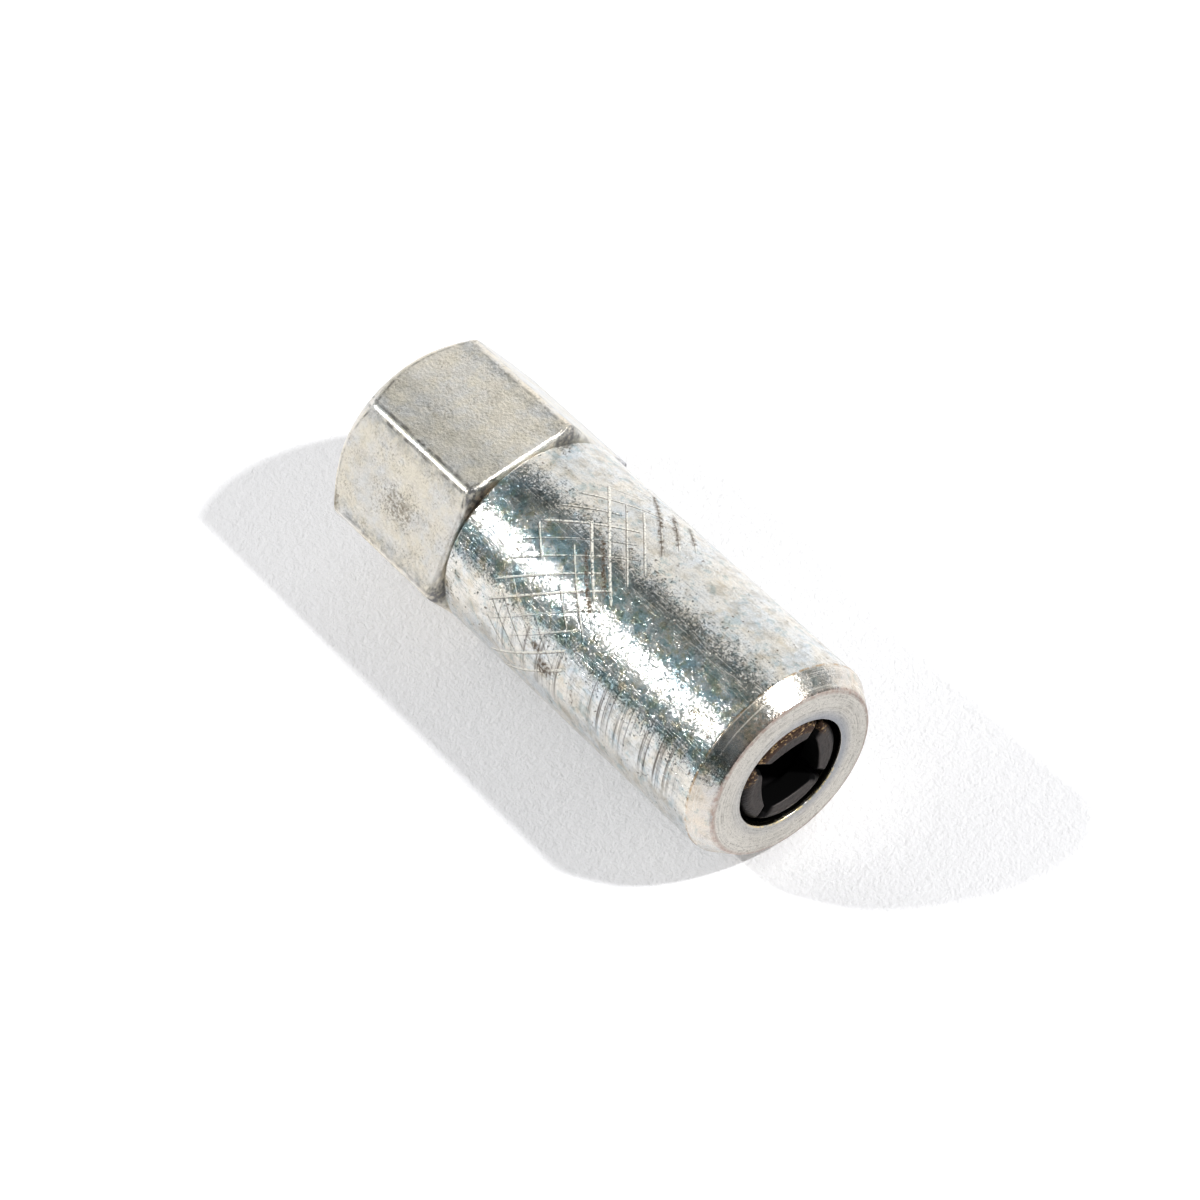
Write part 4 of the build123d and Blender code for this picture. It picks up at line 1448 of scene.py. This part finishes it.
@dataclass
class Studio:
    """White paper, two small hard lamps, white surroundings and the dark canopy that the metal mirrors.

    Each lamp is two lights: a near one that lights dull surfaces and casts the shadows, and a far one that is
    its image in the metal, whose size and place are easier to match on their own.
    """

    camera_place: Place = (172.323, -104.314, 227.434)
    camera_right: Place = (0.62698, 0.776247, -0.065854)
    camera_ahead: Place = (-0.521368, 0.355292, -0.77585)
    lens: float = 133.55
    sensor: float = 36.0
    key_place: Place = (289.6, 209.5, 376.9)
    key_watts: float = 6.84
    fill_place: Place = (-335.8, -350.5, 414.2)
    fill_watts: float = 7.13
    lamp_radius: float = 12.0
    key_glint_from: Place = (0.487, 0.459, 0.743)
    key_glint_power: float = 3.7
    fill_glint_from: Place = (-0.5575, -0.575, 0.599)
    fill_glint_power: float = 0.85
    glint_angle: float = 2.6
    ambient: float = 0.42
    floor_reach: float = 20000.0
    paper: str = "#F3F3F5"
    nose_foot: Place = (38.5, 4.5, -7.5)
    canopy_radius: float = 2000.0
    canopy_rows: int = 25
    canopy_columns: int = 49
    cloth_cool: str = "#C8EAFA"
    cloth_warm: str = "#F2F1EA"

    def camera(self) -> None:
        """Places the camera as it stood for the photograph."""
        data = bpy.data.cameras.new("camera")
        data.lens = self.lens
        data.sensor_width = self.sensor
        data.sensor_fit = "HORIZONTAL"
        data.clip_start, data.clip_end = 0.01, 100
        right = Vector(self.camera_right).normalized()
        back = -Vector(self.camera_ahead).normalized()
        camera = add_object("camera", data)
        turned = Matrix((right, back.cross(right), back)).transposed().to_4x4()
        camera.matrix_world = Matrix.Translation(Vector(self.camera_place) * MM) @ turned
        bpy.context.scene.camera = camera

    def lamp(self, name: str, place: Place, watts: float) -> None:
        """Adds a small round lamp that lights dull surfaces only and casts the shadows."""
        data = bpy.data.lights.new(name, "POINT")
        data.energy = watts
        data.shadow_soft_size = self.lamp_radius * MM
        lamp = add_object(name, data)
        lamp.location = Vector(place) * MM
        lamp.visible_glossy = False

    def glint(self, name: str, toward: Place, power: float) -> None:
        """Adds the mirror image of a lamp: a far light that shows on shiny surfaces only."""
        data = bpy.data.lights.new(name, "SUN")
        data.energy = power
        data.angle = math.radians(self.glint_angle)
        lamp = add_object(name, data)
        lamp.rotation_mode = "QUATERNION"
        lamp.rotation_quaternion = Vector(toward).to_track_quat("Z", "Y")
        lamp.visible_diffuse = False

    def surroundings(self) -> None:
        """White for the camera, for mirrors and for glass, and a plain even light for all else."""
        world = bpy.data.worlds.new("surroundings")
        bpy.context.scene.world = world
        world.use_nodes = True
        tree = world.node_tree
        tree.nodes.clear()
        camera = add_node(tree, "LightPath", {}, "Is Camera Ray")
        seen = camera | camera.beside("Is Glossy Ray") | camera.beside("Is Transmission Ray")
        strength = add_node(tree, "Mix", {0: seen, 2: self.ambient, 3: 1.0})
        light = add_node(tree, "Background", {0: (1, 1, 1, 1), 1: strength})
        add_node(tree, "OutputWorld", {0: light}, None)
        world.cycles.sampling_method = "NONE"

    def sheet(self, name: str, corners: Grid, material: Material) -> Piece:
        """A dressed stage surface from a grid of points in millimetres."""
        sheet = smooth_mesh(name, corners, grid_faces(*corners.shape[:2], False, False).tolist())
        dress(sheet, material)
        return sheet

    def floor(self) -> None:
        """White paper under the coupler, out to the horizon.

        Its own glow for camera and mirrors evens out what the two lamps leave uneven: it differs between the
        near and the far side of the coupler, is stronger round the nose, and grows with the distance, so that
        the paper stays white at the horizon.
        """
        made = Finish("white_paper")
        made.raise_by(made.noise(0.6, 4.0), 0.15)
        made.raise_by(made.noise(0.22, 3.0, 3.0), 0.10)
        near = made.x.eased(-4.0, 8.0, 0.175, 0.11) + made.x.eased(26.0, 32.0, 0.0, 0.02)
        near = near + made.x.eased(40.0, 46.0, 0.0, -0.05)
        beyond = made.x.eased(22.0, 48.0, 0.21, 0.12)
        light = made.add("Mix", {0: made.y.eased(-1.0, 5.0), 2: near, 3: beyond})
        from_nose = made.add("VectorMath", {0: made.place, 1: self.nose_foot}, "Value", operation="DISTANCE")
        light = light + from_nose.eased(1.0, 7.0, 0.09, 0.0)
        from_part = made.add("VectorMath", {0: made.place}, "Value", operation="LENGTH")
        camera = made.add("LightPath", {}, "Is Camera Ray")
        mirrors = camera.beside("Is Glossy Ray")
        far = from_part.eased(60.0, 500.0, 0.0, 0.65) * mirrors
        far = far + from_part.eased(90.0, 400.0, 0.0, 0.5) * camera
        links = {"Base Color": colour(self.paper), "Roughness": 0.9, "Specular IOR Level": 0.0}
        links |= {"Emission Color": (1, 1, 1, 1), "Emission Strength": (camera | mirrors) * light + far}
        links["Normal"] = made.relief()
        made.add("OutputMaterial", {0: made.add("BsdfPrincipled", links)}, None)
        level, reach = cad_bounds[0].z / MM, self.floor_reach
        corners = np.array([[[-reach, side, level], [reach, side, level]] for side in (-reach, reach)])
        self.sheet("floor", corners, made.material)

    def canopy(self) -> None:
        """Dark, unevenly lit cloth over the scene that only mirrors see, open low on the far side.

        It is part of a cylinder round the axis. Its far edge stands lower ahead of the nose, where a wing
        closes the far side.
        """
        made = Finish("dark_canopy_cloth")
        above = made.angle.eased(-10.0, 6.0, 0.0, 0.23) * made.x.fading(-800.0, -100.0)
        above = above * made.angle.eased(66.0, 80.0, 1.0, 0.3)
        shade = made.x.eased(-2500.0, 2500.0, 0.215, 0.125) + above
        shade = shade + made.angle.eased(-32.0, -20.0, 0.15, 0.0)
        shade = shade * made.clouds(Clouds(170.0, 3.0, 90.0, 0.35, 0.65, 0.6, 1.25))
        hue = made.tint(made.clouds(Clouds(150.0, 3.0, 190.0, 0.42, 0.58)), self.cloth_cool, self.cloth_warm)
        made.add("OutputMaterial", {0: made.add("Emission", {0: hue, 1: shade})}, None)
        made.material.cycles.emission_sampling = "NONE"
        spans = {
            "canopy_vault": (-25.5, 90.15, -12000.0, 9000.0),
            "canopy_wing": (-89.9, -25.5, 150.0, 9000.0),
        }
        for name, (low, high, rear, front) in spans.items():
            angle = np.linspace(low, high, self.canopy_columns)[None, :]
            x = np.linspace(rear, front, self.canopy_rows)[:, None]
            points = turned_points(x, np.full(angle.shape, self.canopy_radius), angle)
            cloth = self.sheet(name, points, made.material)
            for ray in ("camera", "diffuse", "shadow", "transmission"):
                setattr(cloth, f"visible_{ray}", False)

    def make(self) -> None:
        """Builds the stage."""
        self.camera()
        self.lamp("key_lamp", self.key_place, self.key_watts)
        self.lamp("fill_lamp", self.fill_place, self.fill_watts)
        self.glint("key_glint", self.key_glint_from, self.key_glint_power)
        self.glint("fill_glint", self.fill_glint_from, self.fill_glint_power)
        self.surroundings()
        self.floor()
        self.canopy()
        bpy.context.scene.view_settings.view_transform = "Standard"


def main() -> None:
    """Builds the stage, then the coupler's pieces in order."""
    logging.basicConfig(level=logging.INFO, format="%(name)s: %(message)s")
    Studio().make()
    Sleeve().make(BrightZinc())
    Adapter().make(DrawnZinc())
    Jaws().make(BlackOxide())
    Inside().make()


if __name__ == "__main__":
    main()
